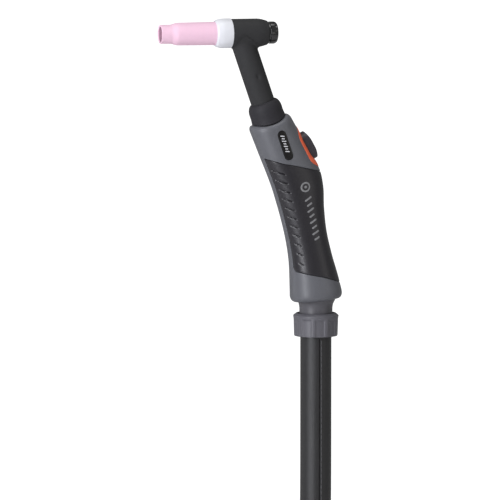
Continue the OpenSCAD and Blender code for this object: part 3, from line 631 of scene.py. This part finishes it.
def half_of_handle(side):
    """One moulded half: its skin, the sunk seat for the insert, the ball's socket and the hollow."""
    a = np.concatenate([[0, 0.8], np.linspace(2.6, 157, 62), [159.4, 160.15, 160.3, 161.2],
                        np.linspace(163, 179.2, 8), [180]])
    seam = np.where((a < 0.5) | (a > 179.6), 0.22, 0.0)
    seated = (a < 160.2).astype(float)
    rows = []

    def outer(s, inset):
        rows.append(skin(s, side * a, inset + seam))

    for d in (0, 0.1, 0.35, 0.75, 1.3, 2.1, NOSE_ROUND):
        outer(rim_dip(a) + d, round_off(d, NOSE_ROUND, 2.6))
    top, bottom = grip_top(a), grip_bottom(a)
    for u in np.linspace(0, 1, 24)[1:]:
        outer((rim_dip(a) + NOSE_ROUND) * (1 - u) + (top - 0.45) * u, 0)
    for off, depth in SEAT_EDGE:
        outer(top - off, depth * seated)
    for u in np.linspace(0, 1, 34):
        outer((top + 0.3) * (1 - u) + (bottom - 0.3) * u, SUNK * seated)
    for off, depth in SEAT_EDGE[::-1]:
        outer(bottom + off, depth * seated)
    for u in np.linspace(0, 1, 12):
        outer((bottom + 0.5) * (1 - u) + (HANDLE_L - BUTT_ROUND) * u, 0)
    for d in (3.4, 2.4, 1.6, 1.0, 0.5, 0.15, 0):
        outer(np.full(len(a), HANDLE_L - d), round_off(d, BUTT_ROUND, 3.6))
    across = np.array([-BUTT_DIR[2], 0, BUTT_DIR[0]])
    c = np.cos(np.radians(a))[:, None]
    sideways = side * np.sin(np.radians(a))[:, None] * np.array([0, 1.0, 0])

    def ring(radius, below):
        rows.append(BALL + below * BUTT_DIR + radius * (c * across + sideways))

    ring(LIP_R, LIP_BELOW)
    for below in (5.1, 3.5, 1.5, -1, -4, -7, -10, -12.4):
        ring(math.sqrt(SOCKET_R ** 2 - below * below), below)
    for s in (118, 112):
        p, _, q = spine(s)
        rows.append(p + CABLE_BORE * (c * q + sideways))
    for s in (106, 90, 75, 60, 45, 30, 15, 9):
        p, _, q = spine(s)
        rows.append(p + c * np.where(c < 0, section(s, 1), section(s, 2)) * q - WALL * c * q
                    + (section(s, 3) - WALL) * sideways)
    for s in (4, 0.6):
        p, _, q = spine(s + rim_dip(a) * 0.9)
        rows.append(p + NECK_BORE * (c * q + sideways))
    v = np.array(rows)
    v[:, (0, -1), 1] = side * 0.02
    m, n = v.shape[:2]
    faces = grid_faces(m, n, closed_rows=True)
    faces += [tuple(i * n for i in range(m)), tuple(i * n + n - 1 for i in range(m))]
    return v.reshape(-1, 3), faces


def stadium(length, width, count=12):
    """A flat outline with round ends."""
    straight, r = (length - width) / 2, width / 2
    one = [(straight + r * math.cos(k), r * math.sin(k))
           for k in np.radians(np.linspace(-90, 90, count + 1))]
    return np.array(one + [(-x, -y) for x, y in one])


def prism(outline, z0, z1, place):
    n = len(outline)
    v = [(x, y, z0) for x, y in outline] + [(x, y, z1) for x, y in outline]
    f = [tuple(range(n))[::-1], tuple(range(n, 2 * n))]
    f += [(j, (j + 1) % n, n + (j + 1) % n, n + j) for j in range(n)]
    return place(np.array(v)), f


def handle_place(s, n):
    """The point in the symmetry plane s along the handle and n behind its middle line."""
    p, _, q = spine(s)
    return p + n * q


SCREWS = [(66, -8.6), (104, -8.4), (15, 9.4)]


def screw_seat(s, n):
    """How far out a screw's head lies, just under the surface."""
    edge = (abs(n) + 2.4) / float(section(s, 1 if n < 0 else 2))
    return float(section(s, 3)) * (1 - edge ** SQUARENESS) ** (1 / SQUARENESS) - 1.9


def screw_holes(screws, width, start):
    """Cutters for round holes in the right side, starting this far above the screws' seats."""
    holes = []
    for s, n in screws:
        base = placed(handle_place(s, n) + [0, screw_seat(s, n), 0])

        def facing(p, base=base):
            return base(np.stack([p[:, 0], p[:, 2], -p[:, 1]], 1))
        holes.append(new_object("cutter", *prism(stadium(width, width - 0.001, 14), start, 9, facing)))
    return holes


badge_centre = handle_place(18, 2)
BADGE_Z = 14.4


def on_badge(side):
    """A frame on the badge's seat: X along the badge, Z out of the handle."""
    down = tilted(NECK_TILT)
    rear = np.array([-down[2], 0, down[0]])
    out = np.array([0, side, 0])
    return lambda v: (badge_centre + np.asarray(v)[:, :1] * down + np.asarray(v)[:, 1:2] * rear
                      + np.asarray(v)[:, 2:3] * out)


for side, word in SIDES:
    v, f = half_of_handle(side)
    half = piece("handle_shell_" + word, v, f, None)
    cutters = [
        new_object("cutter", *prism(stadium(36.4, 21.4), -10, 12, on_switch)),
        new_object("cutter", *prism(stadium(23.5, 6.9), BADGE_Z, 22, on_badge(side))),
    ]
    if side > 0:
        cutters += screw_holes(SCREWS, 5.2, 0)
    cut(half, *cutters)
    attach(half, "handle")
    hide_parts("handle_" + word)
    paint(half, "handle")


# ---------- grip inserts ----------
GROOVES, GROOVE_FROM, GROOVE_PITCH, GROOVE_SLANT = 11, 35.4, 7.9, 0.155


def groove_depth(s, a):
    """Short slanted finger grooves on the insert's front, shorter towards the bottom."""
    depth = np.zeros(np.broadcast(s, a).shape)
    for k in range(GROOVES):
        u = k / (GROOVES - 1)
        a0, a1 = 151 - 10 * u, 106 + 16 * u
        centre = GROOVE_FROM + GROOVE_PITCH * k - (a - 129) * GROOVE_SLANT
        along = smooth((a - a1) / 5) * smooth((a0 - a) / 5)
        d = s - centre
        depth += along * (0.75 - 0.25 * u) * (np.exp(-(d / 0.5) ** 2) + 0.12 * smooth(1 + d / 3.2) * (d < 0))
    return depth


def grip_insert(side):
    """One soft insert: its grooved front, its back on the seat, and the wall between them."""
    vs = np.concatenate([[0, 0.0035, 0.009], np.linspace(0.018, 0.982, 190), [0.991, 0.9965, 1.0]])
    us = np.concatenate([[0, 0.006, 0.014], np.linspace(0.024, 0.976, 118), [0.986, 0.994, 1.0]])
    a = 0.7 + (GRIP_TO - 0.8) * us
    edge_u = np.minimum(us, 1 - us) * GRIP_TO / 4.2
    edge_v = np.minimum(vs, 1 - vs) * 88
    rounding = 0.5 * (1 - np.sqrt(1 - np.clip(1 - edge_v / 0.9, 0, 1) ** 2))[:, None]
    rounding = rounding + 0.5 * (1 - np.sqrt(1 - np.clip(1 - edge_u / 0.9, 0, 1) ** 2))[None, :]
    top, bottom = grip_top(a) + 0.05, grip_bottom(a) - 0.05
    s = top[None, :] * (1 - vs[:, None]) + bottom[None, :] * vs[:, None]
    angle = np.broadcast_to(a[None, :], s.shape)
    inset = -0.05 + rounding + groove_depth(s, angle)
    front = skin(s, side * angle, inset)
    behind = skin(s, side * angle, 1.5)
    m, n = s.shape
    v = np.vstack([front.reshape(-1, 3), behind.reshape(-1, 3)])
    f = grid_faces(m, n) + [tuple(reversed(q)) for q in grid_faces(m, n, start=m * n)]
    loop = (list(range(n)) + [i * n + n - 1 for i in range(1, m)]
            + [(m - 1) * n + j for j in range(n - 2, -1, -1)] + [i * n for i in range(m - 2, 0, -1)])
    f += [(q, p, p + m * n, q + m * n) for p, q in zip(loop, loop[1:] + loop[:1])]
    return v, f


for side, word in SIDES:
    v, f = grip_insert(side)
    insert = piece("grip_insert_" + word, v, f, None)
    if side > 0:
        cut(insert, *screw_holes(SCREWS[:2], 5.4, -3))
    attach(insert, "handle")
    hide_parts("grip_" + word)
    paint(insert, "grip")


def raised_on_skin(name, side, outlines, lift, key):
    """Low raised shapes that follow the handle's side. Each is (s, angle, outer, inner): the middle's place,
    and closed outlines of (along, across) in mm, with None for inner where the shape is solid."""
    verts, faces = [], []
    for s0, a0, outer, inner in outlines:
        per_degree = float(np.linalg.norm(skin(s0, a0 + 0.5) - skin(s0, a0 - 0.5)))

        def at(points, inset):
            points = np.asarray(points)
            return skin(s0 + points[:, 0], side * (a0 - points[:, 1] / per_degree), inset)
        n, start = len(outer), len(verts)
        if inner is None:
            middle = np.mean(outer, axis=0)
            layers = [(outer, 0.2), (outer, -lift * 0.6), (outer * 0.94 + middle * 0.06, -lift),
                      (outer * 0.5 + middle * 0.5, -lift)]
            faces += capped(len(layers), n, start)
        else:
            layers = [(outer, 0.2), (outer, -lift * 0.6), (outer * 0.85 + inner * 0.15, -lift),
                      (outer * 0.15 + inner * 0.85, -lift), (inner, -lift * 0.6), (inner, 0.2)]
            faces += grid_faces(len(layers), n, True, True, start)
        for pts, inset in layers:
            verts += list(at(pts, inset))
    return paint(piece(name, verts, faces, "handle"), key)


def circle(r):
    t = np.linspace(0, 2 * math.pi, 36, endpoint=False)
    return np.stack([r * np.cos(t), r * np.sin(t)], 1)


def bar(length, width, slant):
    """A slim bar lying across the handle, leaning by slant degrees."""
    p = stadium(length, width, 6)
    t = math.radians(90 + slant)
    return np.stack([p[:, 0] * math.cos(t) - p[:, 1] * math.sin(t),
                     p[:, 0] * math.sin(t) + p[:, 1] * math.cos(t)], 1)


for side, word in SIDES:
    shapes = [(53.6, 76.5, circle(4.0), circle(2.7)), (53.6, 76.5, circle(1.1), None)]
    for length, s0 in zip((6.2, 4.8) * 4, np.linspace(63.5, 96.5, 8)):
        shapes.append((s0, 77.5, bar(length, 1.5, 18), None))
    raised_on_skin("grip_mark_" + word, side, shapes, 0.16, "mark")


# ---------- badges: plain gloss plates with a simple line pattern ----------
def shape_stack(outline_at, layers, place):
    """Stacked outlines joined into one closed piece."""
    verts = [(x, y, z) for grow, z in layers for x, y in outline_at(grow)]
    return place(np.array(verts)), capped(len(layers), len(verts) // len(layers))


for side, word in SIDES:
    place = on_badge(side)
    layers = [(0, 14.45), (0, 15.2), (-0.15, 15.5), (-0.45, 15.66), (-1.0, 15.7)]
    v, f = shape_stack(lambda g: stadium(23 + 2 * g, 6.4 + 2 * g, 14), layers, place)
    plate = piece("badge_" + word, v, f, "handle", ("badges",) if side < 0 else ())
    paint(plate, "badge")
    verts, faces = [], []
    for x, height in zip(np.linspace(-7.4, 4.8, 7), (3.4, 2.4, 3.4, 2.4, 3.4, 2.4, 3.4)):
        o = bar(height, 0.75, -24) + [x, 0]
        faces += capped(3, len(o), len(verts))
        for g, z in ((1.0, 15.6), (1.0, 15.78), (0.8, 15.82)):
            verts += [(x + (p - x) * g, q * g, z) for p, q in o]
    lines = piece("badge_lines_" + word, place(np.array(verts)), faces, "handle")
    paint(lines, "badge_line")


# ---------- switch bezel and button ----------
def smooth_skin_tree():
    s = np.linspace(1, 62, 90)
    a = np.linspace(-80, 80, 120)
    g = skin(s[:, None], a[None, :])
    return BVHTree.FromPolygons([Vector(p) for p in g.reshape(-1, 3)], grid_faces(len(s), len(a)))


tree = smooth_skin_tree()
switch_out = Vector(on_switch([[0, 0, 1]])[0] - on_switch([[0, 0, 0]])[0])


def skin_height(x, y):
    """Height of the handle's surface above the switch's frame."""
    top = Vector(on_switch([[x, y, 14]])[0])
    hit = tree.ray_cast(top, -switch_out)[0]
    return 14 - (hit - top).length if hit else 0.0


rim_outer = stadium(36, 21, 24)
rim_inner = stadium(23.4, 14.8, 24)
# from the outer edge (0) to the inner (1), and the height above the handle's surface
profile = [(0.0, -2.2), (0.0, -0.25), (0.03, 0.08), (0.08, 0.24), (0.16, 0.3), (0.4, 0.26),
           (0.66, 0.16), (0.82, 0.1), (0.9, 0.0), (0.96, -0.3), (1.0, -0.7), (1.0, -2.2)]
verts = []
for t, lift in profile:
    ring = rim_outer * (1 - t) + rim_inner * t
    verts += [(x, y, skin_height(x, y) + lift) for x, y in ring]
bezel = piece("switch_bezel_ring", on_switch(verts), grid_faces(len(profile), len(rim_outer), True, True),
              "handle", ("switch_bezel",))
paint(bezel, "bezel")


DOME_TOP, DOME_R = 5.1, 36


def dome(x, y):
    """Height of the button's crown, part of a ball."""
    return DOME_TOP - DOME_R + math.sqrt(DOME_R ** 2 - x * x - y * y)


verts = []
edge = stadium(22.6, 14, 24)
n = len(edge)
for k, z in ((0.985, -2.85), (1, -2.6), (1, -1), (1, 0.5), (1, 1.6)):
    verts += [(x * k, y * k, z) for x, y in edge]
for k, drop in ((1.0, 0.75), (0.996, 0.42), (0.98, 0.16), (0.95, 0.03)):
    verts += [(x * k, y * k, dome(x, y) - drop) for x, y in edge]
for k in (0.85, 0.7, 0.5, 0.3, 0.12):
    verts += [(x * k, y * k, dome(x * k, y * k)) for x, y in edge]
faces = capped(len(verts) // n, n)
start = len(verts)
STEM = [(0, -8.3), (1.0, -8.3), (1.1, -8.1), (1.1, -6.2), (2, -6.1), (2, -2.7), (0, -2.7)]
stem, stem_faces = turned(STEM, lambda v: v, 24, closed=False)
verts = np.vstack([verts, stem])
faces += [tuple(start + k for k in q) for q in stem_faces]
button = piece("trigger_button", on_switch(verts), faces, "switch_button", ("switch_button",))
paint(button, "button")


# ---------- torch head ----------
NECK_END = NECK_L + 11.5
FILLET = 2.2
DIMPLE_ANGLE, DIMPLE_Z, DIMPLE_DEPTH = math.radians(265), 34.6, 1.3


def barrel_and_neck():
    bore = 6.3
    profile = rounded([
        (bore, BARREL_X0), (BARREL_R, BARREL_X0, 0.5), (BARREL_R, BARREL_X1 - 6.2, 2.4),
        (BARREL_R - 1.5, BARREL_X1 - 0.7, 0.7), (BARREL_R - 2.1, BARREL_X1, 0.2), (bore, BARREL_X1),
        (bore, BARREL_X1 - 4.8), (8.15, BARREL_X1 - 4.8), (8.15, BARREL_X0 + 1.3), (bore, BARREL_X0 + 1.3),
    ], closed=True, steps=7)
    v, f = turned(profile, on_head, 144)
    verts, faces = list(v), list(f)
    # the neck grows out of the barrel with a rounded fillet
    n = 96
    theta = np.linspace(0, 2 * math.pi, n, endpoint=False)

    def barrel_hit(radius):
        """Distance down the neck at which it leaves the barrel, for each angle."""
        c = on_neck(np.stack([radius * np.cos(theta), radius * np.sin(theta), 0 * theta], 1))
        d = on_neck([[0, 0, 1]])[0] - on_neck([[0, 0, 0]])[0]
        y, z = c[:, 1], c[:, 2] - HEAD_Z
        a, b, q = d[2] ** 2, 2 * z * d[2], y * y + z * z - (BARREL_R - 0.02) ** 2
        return (-b + np.sqrt(np.maximum(b * b - 4 * a * q, 0))) / (2 * a)
    start = len(verts)
    rows = []
    for u in np.linspace(-0.12, 1, 10):
        k = math.radians(90 * max(u, 0))
        radius = NECK_R + FILLET * (1 - math.sin(k))
        z = barrel_hit(min(radius, BARREL_R - 0.1)) + FILLET * (1 - math.cos(k)) + min(u, 0) * 4
        rows.append((radius, z))
    junction = rows[-1][1]
    for u in np.linspace(0, 1, 70)[1:]:
        rows.append((NECK_R, junction * (1 - u) + NECK_END * u))
    for radius, z in rows:
        r = np.full(n, float(radius))
        if radius == NECK_R:
            off = NECK_R * np.angle(np.exp(1j * (theta - DIMPLE_ANGLE)))
            r -= DIMPLE_DEPTH * np.exp(-(off / 1.3) ** 2 - ((z - DIMPLE_Z) / 1.9) ** 2)
        verts += list(on_neck(np.stack([r * np.cos(theta), r * np.sin(theta), z + 0 * theta], 1)))
    faces += grid_faces(len(rows), n, closed_cols=True, start=start)
    faces.append(tuple(start + (len(rows) - 1) * n + k for k in range(n)))
    return verts, faces


v, f = barrel_and_neck()
paint(piece("torch_head", v, f, "handle", ("head_shell",), crease=50), "head")


def boot_piece():
    """The sleeve on top of the handle. Its foot dips at the sides, as the handle's rim does."""
    profile = rounded([
        (9.06, 55), (9.9, 55, 0.3), (11.2, 56.1, 0.9), (12.5, 58.9, 1.4), (12.75, 62, 1.5), (12.6, 64.6, 1.2),
        (12.9, 67.2, 1.0), (13.1, 68.9, 0.2), (9.06, 68.9),
    ], closed=True, steps=5)
    v, f = turned(profile, lambda p: p, 120)
    low = smooth((v[:, 2] - 58) / 10)
    v[:, 2] += low * 2.3 * (v[:, 1] / np.maximum(np.hypot(v[:, 0], v[:, 1]), 1e-6)) ** 2
    return on_neck(v), f


v, f = boot_piece()
paint(piece("neck_sleeve", v, f, "handle", ("neck_boot",)), "boot")

paint(lathe("white_gasket", rounded([
    (6.25, BARREL_X0 - 0.05), (GASKET_R, BARREL_X0 - 0.05, 0.35), (GASKET_R, GASKET_X0 + 5.0, 1.2),
    (GASKET_R - 0.9, GASKET_X0 + 1.2, 1.0), (GASKET_R - 1.9, GASKET_X0, 0.3), (8.85, GASKET_X0, 0.1),
    (8.85, CUP_X1 + 0.1), (6.25, CUP_X1 + 0.1)], closed=True), on_head, "cup_seal",
    ("cup_gasket",), n=144), "gasket")

step_x = CUP_X0 + 8.4
cup = paint(lathe("ceramic_cup", rounded([
    (5.6, CUP_X0 + 1.1, 0.5), (6.1, CUP_X0, 0.4), (7.05, CUP_X0, 0.5), (7.1, CUP_X0 + 0.9, 0.5),
    (7.15, step_x, 1.0), (8.4, step_x + 4.0, 1.2), (8.5, step_x + 7, 1), (8.7, CUP_X1 - 6, 1),
    (8.7, CUP_X1, 0.2), (6.0, CUP_X1, 0.2), (6.0, GASKET_X0 - 5.4, 0.2), (6.9, GASKET_X0 - 6.6, 0.4),
    (6.9, step_x + 4, 1), (5.6, step_x + 1, 0.8)], closed=True, steps=6), on_head, "gas_cup",
    ("gas_cup",), n=144), "cup")
# the faces of its bore get a darker colour: painted shade inside the bore
BORE_MOST_R, BORE_FROM_X = 6.95, CUP_X0 + 0.6
cup.data.materials.append(M["cup_bore_shade"])
for face in cup.data.polygons:
    x, y, z = face.center / MM
    if math.hypot(y, z - HEAD_Z) < BORE_MOST_R and x > BORE_FROM_X:
        face.material_index = 1


CAP_BORE, CAP_X0, SLOT_TO_R, SLOT_HALF = 1.4, BARREL_X0 + 19.95, 7.7, 7.5


def cap_piece():
    """The back cap, with ten finger slots round it and a blind hole for the electrode."""
    x = CAP_X1
    profile = rounded([
        (CAP_BORE, CAP_X0), (5.5, CAP_X0, 0.2), (5.5, BARREL_X1 - 3.9), (5.1, BARREL_X1 - 3.7),
        (5.1, BARREL_X1 - 2.3), (5.5, BARREL_X1 - 2.1), (5.5, BARREL_X1 + 0.2, 0.1),
        (7.5, BARREL_X1 + 0.2, 0.2), (7.8, BARREL_X1 + 1.3, 0.4), (8.35, BARREL_X1 + 1.5, 0.15),
        (8.35, x - 2.0, 0.8), (7.6, x - 0.5, 0.5), (6.6, x, 0.5), (5.0, x - 0.25, 0.2),
        (3.6, x - 0.25, 0.15), (3.3, x - 0.55, 0.15), (0, x - 0.55)], steps=4)
    v, f = turned(profile, lambda p: p, 240, closed=False)
    r = np.hypot(v[:, 0], v[:, 1])
    slot = smooth((SLOT_HALF - from_ridge(v, 0)) / 1.6)
    zone = smooth((v[:, 2] - (BARREL_X1 + 1.5)) / 0.3) * smooth((x - 0.7 - v[:, 2]) / 0.9)
    v = at_radius(v, r - np.maximum(r - SLOT_TO_R, 0) * slot * zone)
    base = len(v)
    hole = [(CAP_BORE, CAP_X0), (CAP_BORE, x - 2.6), (0, x - 2.6)]
    inside, g = turned(hole, lambda p: p, 24, closed=False)
    return on_head(np.vstack([v, inside])), f + [tuple(base + q for q in face) for face in g]


v, f = cap_piece()
paint(piece("short_back_cap", v, f, "back_cap", ("back_cap",), crease=28), "cap")


# ---------- knuckle and gland nut ----------
NUT_TOP, NUT_BOTTOM = -15.4, -32.8
THREAD_TOP, THREAD_BOTTOM = -17.1, -24.5
BALL_R = 15.48
ball_rows = [(BALL_R * math.cos(k), BALL_R * math.sin(k)) for k in np.radians(np.linspace(35.5, -32, 22))]
paint(lathe("ball_knuckle", np.vstack([
    [(11.0, 9.0)], ball_rows, rounded([
        (13.1, -8.3), (12.5, -11.2, 1.2), (12.5, THREAD_TOP, 0.1), (14.2, THREAD_TOP, 0.2),
        (14.2, THREAD_BOTTOM, 0.3), (10.2, THREAD_BOTTOM), (10.2, NUT_BOTTOM - 0.4), (8.6, NUT_BOTTOM - 0.4),
        (8.6, -4), (11.0, 9.0)])[:-1]]), on_ball, "knuckle", ("knuckle_ball",),
    n=128), "knuckle")


SCOOP_DEPTH, RIB_HEIGHT = 0.7, 0.1


def nut_piece():
    """The gland nut: ten shallow scallops, with a slim rib down each ridge between them."""
    h = NUT_TOP - NUT_BOTTOM
    outer = rounded([
        (14.4, NUT_TOP - 0.35), (14.6, NUT_TOP - 0.05, 0.2), (15.0, NUT_TOP - 0.15, 0.3),
        (17.0, NUT_TOP - 1.7, 0.4), (17.2, NUT_TOP - 2.3, 0.3), (17.0, NUT_TOP - 2.7, 0.2)], steps=4)
    side = [(17.0 - 0.4 * (k / 30), NUT_TOP - 2.7 - (h - 4.0) * k / 30) for k in range(1, 31)]
    foot = rounded([(16.6, NUT_BOTTOM + 1.3), (16.55, NUT_BOTTOM + 0.5, 0.3), (16.1, NUT_BOTTOM, 0.2),
                    (12.3, NUT_BOTTOM, 0.3), (12.3, -30.2), (14.4, -27.5), (14.4, NUT_TOP - 1.0)], steps=4)
    v, f = turned(np.vstack([outer, side, foot[1:]]), lambda p: p, 300)
    off, z = from_ridge(v, 0.13), v[:, 2]
    r = np.hypot(v[:, 0], v[:, 1])
    down = smooth((NUT_TOP - 3.6 - z) / 1.6) * smooth((z - NUT_BOTTOM - 0.1) / 0.6)
    scoop = smooth((14.0 - off) / 4.2)
    rib = np.exp(-((18 - off) / 0.9) ** 2)
    change = down * (RIB_HEIGHT * rib - SCOOP_DEPTH * scoop)
    return on_ball(at_radius(v, np.where(r > 15.0, r + change, r))), f


v, f = nut_piece()
paint(piece("gland_nut_body", v, f, "gland_nut", ("gland_nut",), crease=40), "nut")


# ---------- ties round the coil ----------
def tie_band(angle):
    """A woven strap drawn round the four turns, with its loose end lapped flat on top."""
    corner = 12.0
    half_r, half_z = (TURN_OUT - TURN_IN) / 2, (UPPER - LOWER) / 2
    mid_r, mid_z = (TURN_OUT + TURN_IN) / 2, (UPPER + LOWER) / 2
    loop = []
    for k, (sx, sz) in enumerate(((1, 1), (-1, 1), (-1, -1), (1, -1))):
        for t in np.linspace(0, 90, 13):
            b = math.radians(90 * k + t)
            loop.append((sx * half_r, sz * half_z, math.cos(b), math.sin(b)))
    edges = [(-9.6, 0.1), (-10, 0.35), (-10, 0.7), (-9.5, 1.02), (-8.4, 0.92), (-5, 1.0), (0, 0.94),
             (5, 1.0), (8.4, 0.92), (9.5, 1.02), (10, 0.7), (10, 0.35), (9.6, 0.1)]
    verts = [(mid_r + x + cx * (corner + lift), across, mid_z + z + cz * (corner + lift))
             for across, lift in edges for x, z, cx, cz in loop]
    faces = grid_faces(len(edges), len(loop), closed_rows=True, closed_cols=True)
    start = len(verts)
    top = mid_z + half_z + corner + 1.15
    lap_rows = 23
    verts += [(mid_r + x, y, top - drop) for x in np.linspace(-13, 9, lap_rows)
              for y, drop in ((-8.6, 0.25), (-8.9, 1.25), (8.9, 1.25), (8.6, 0.25))]
    faces += capped(lap_rows, 4, start)
    return placed([COIL_X, 0, 0], turn_z=angle)(verts), faces


for k, angle in enumerate((20, 140, 260)):
    v, f = tie_band(angle)
    paint(piece(f"coil_tie_{k + 1}", v, f, "handle", ("coil_ties",) if k == 0 else ()), "strap")


# ---------- the lead's end, its two tails and their plugs ----------
def moulded(name, profile, place, stands_for):
    """A moulded end piece, turned about its own axis."""
    return paint(lathe(name, rounded(profile), place, "handle", (stands_for,), closed=False), "moulded")


boot_profile = [(0, 0), (12.4, 0, 0.6), (13.0, 0.9, 0.4), (13.0, 8.0, 0.5), (12.2, 8.8, 0.5)]
for k in range(7):
    z, r = 10 + 3.2 * k, 12.0 - 0.06 * k
    boot_profile += [(r, z, 0.5), (r - 0.4, z + 0.7, 0.4), (r - 0.4, z + 1.7, 0.4), (r, z + 2.4, 0.5)]
boot_profile += [(11.5, 33.6, 0.6), (10.4, 36.0, 0.8), (0, 36.0)]
end_boot = moulded("lead_end_boot", boot_profile, on_boot, "lead_boot")

grip_profile = [(0, 0), (7.4, 0, 0.3), (8.0, 0.8, 0.4), (8.3, 4, 0.5)]
for k in range(3):
    z, r = 5 + 3.6 * k, 8.4 + 0.2 * k
    grip_profile += [(r, z, 0.4), (r - 0.7, z + 0.6, 0.3), (r - 0.6, z + 1.6, 0.3), (r + 0.3, z + 2.2, 0.4)]
grip_profile += [(9.0, 16, 1), (12.4, 22, 1.5), (13.0, 24, 1), (13.0, 29.4, 0.4)]
for k in range(5):
    z = 30 + 5 * k
    grip_profile += [(13.0, z, 0.4), (12.35, z + 0.3, 0.3), (12.35, z + 1.7, 0.3), (13.0, z + 2.0, 0.4)]
grip_profile += [(13.0, 61, 0.8), (12.0, 62, 0.4), (6.2, 62, 0.2), (6.2, 48.2), (0, 48.2)]
plug_body = moulded("power_plug_grip", grip_profile, on_plug, "plug_grip")

plug_profile = [(0, 0), (3.6, 0, 0.3), (4.2, 0.8, 0.4), (4.4, 3, 0.3), (4.1, 3.6, 0.3), (4.1, 4.6, 0.3),
                (4.6, 5.2, 0.3), (4.3, 5.9, 0.3), (4.3, 6.9, 0.3), (4.8, 9, 0.8), (7.2, 12, 0.8),
                (8.0, 13.2, 0.5)]
for k in range(6):
    z = 15.5 + 2.6 * k
    plug_profile += [(8.0, z, 0.25), (7.55, z + 0.3, 0.2), (7.55, z + 0.9, 0.2), (8.0, z + 1.2, 0.25)]
plug_profile += [(8.0, 37.3, 0.5), (7.4, 38, 0.3), (6.4, 38, 0.2), (6.4, 30), (0, 30)]
control_body = moulded("control_plug_body", plug_profile, on_control, "control_plug")

power_line, power_length = even(catmull(POWER), 2.0)
power = paint(tube("power_lead", power_line, round_radius(6.0, 40), (0, 0, 1)), "cord")
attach(power, "handle")
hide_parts("power_tail")

control_line, control_length = even(catmull(CONTROL), 1.5)
control = paint(tube("control_lead", control_line, round_radius(2.75, 28), (0, 0, 1)), "cord")
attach(control, "handle")
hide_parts("control_tail")


# ---------- CAD parts that stay as they are, with their finishes ----------
FINISH = {
    "handle_screws": "steel", "microswitch": "case", "head_core": "copper", "neck_tube": "copper",
    "collet_body": "copper", "collet": "copper", "crimp_ferrule": "brass", "inner_cable": "cord",
    "cap_oring": "oring", "electrode": "tungsten", "cover_end": "cover", "clamp_ring": "ring",
    "plug_pin": "brass", "control_pins": "brass",
}
for node, key in FINISH.items():
    obj = bpy.data.objects[node]
    if not obj.material_slots:
        obj.data.materials.append(None)
    for s in obj.material_slots:
        s.material = M[key]


# ---------- floor, lights and the white studio ----------
FLOOR_Z, FLOOR_WIDE, FLOOR_FRONT, FLOOR_BACK = -0.4455, 4.0, -8.0, 1.3
floor_mesh = bpy.data.meshes.new("floor")
floor_mesh.from_pydata([(x, y, FLOOR_Z) for x, y in (
    (-FLOOR_WIDE, FLOOR_FRONT), (FLOOR_WIDE, FLOOR_FRONT), (FLOOR_WIDE, FLOOR_BACK),
    (-FLOOR_WIDE, FLOOR_BACK))], [], [(0, 1, 2, 3)])
floor = linked("floor", floor_mesh)
floor_mesh.materials.append(material("floor_pale", (0.82, 0.82, 0.83), 0.6, mottle=0.01, grain=0.02))


def area_light(name, toward, distance, size, watts, color=(1, 1, 1), height=None):
    """A soft light aimed at the origin, which lies inside the handle. Metres and watts."""
    data = bpy.data.lights.new(name, "AREA")
    data.shape, data.size, data.size_y = "RECTANGLE", size, height or size
    data.energy, data.color = watts, color
    d = toward.normalized()
    aimed(name, data, d, d * distance)


right = Vector((-back.y, back.x, 0)).normalized()
up = back.cross(right)
area_light("key", back * 0.82 - right * 0.6 + up * 0.15, 1.6, 0.5, 22, (0.94, 0.95, 1.0), height=1.6)
area_light("top", up + back * 0.25, 1.4, 0.8, 6)
area_light("right", right * 0.8 + back * 0.6 + up * 0.1, 1.8, 1.0, 2.5, (1.0, 0.98, 0.93), height=1.2)
area_light("left", -right - back * 0.25 + up * 0.1, 1.5, 0.5, 1.5, height=1.2)

# the surroundings are white behind the object, as the camera sees it, and dim elsewhere
WHITE_WITHIN, DIM_BEYOND, WHITE, DIM = math.radians(7), math.radians(14), 1.15, 0.3
world = bpy.data.worlds.new("studio")
scene.world = world
world.use_nodes = True
world.node_tree.nodes.clear()
new, link = node_tools(world.node_tree)
out = new("OutputWorld")
ground = new("Background", {"Color": (1, 1, 1, 1)})
dot = new("VectorMath", {1: -back})
dot.operation = "DOT_PRODUCT"
patch = new("MapRange", {"From Min": math.cos(DIM_BEYOND), "From Max": math.cos(WHITE_WITHIN),
                         "To Min": DIM, "To Max": WHITE})
patch.interpolation_type = "SMOOTHSTEP"
link(new("TexCoord").outputs["Generated"], dot.inputs[0])
link(dot.outputs["Value"], patch.inputs["Value"])
link(patch.outputs["Result"], ground.inputs["Strength"])
link(ground.outputs["Background"], out.inputs["Surface"])
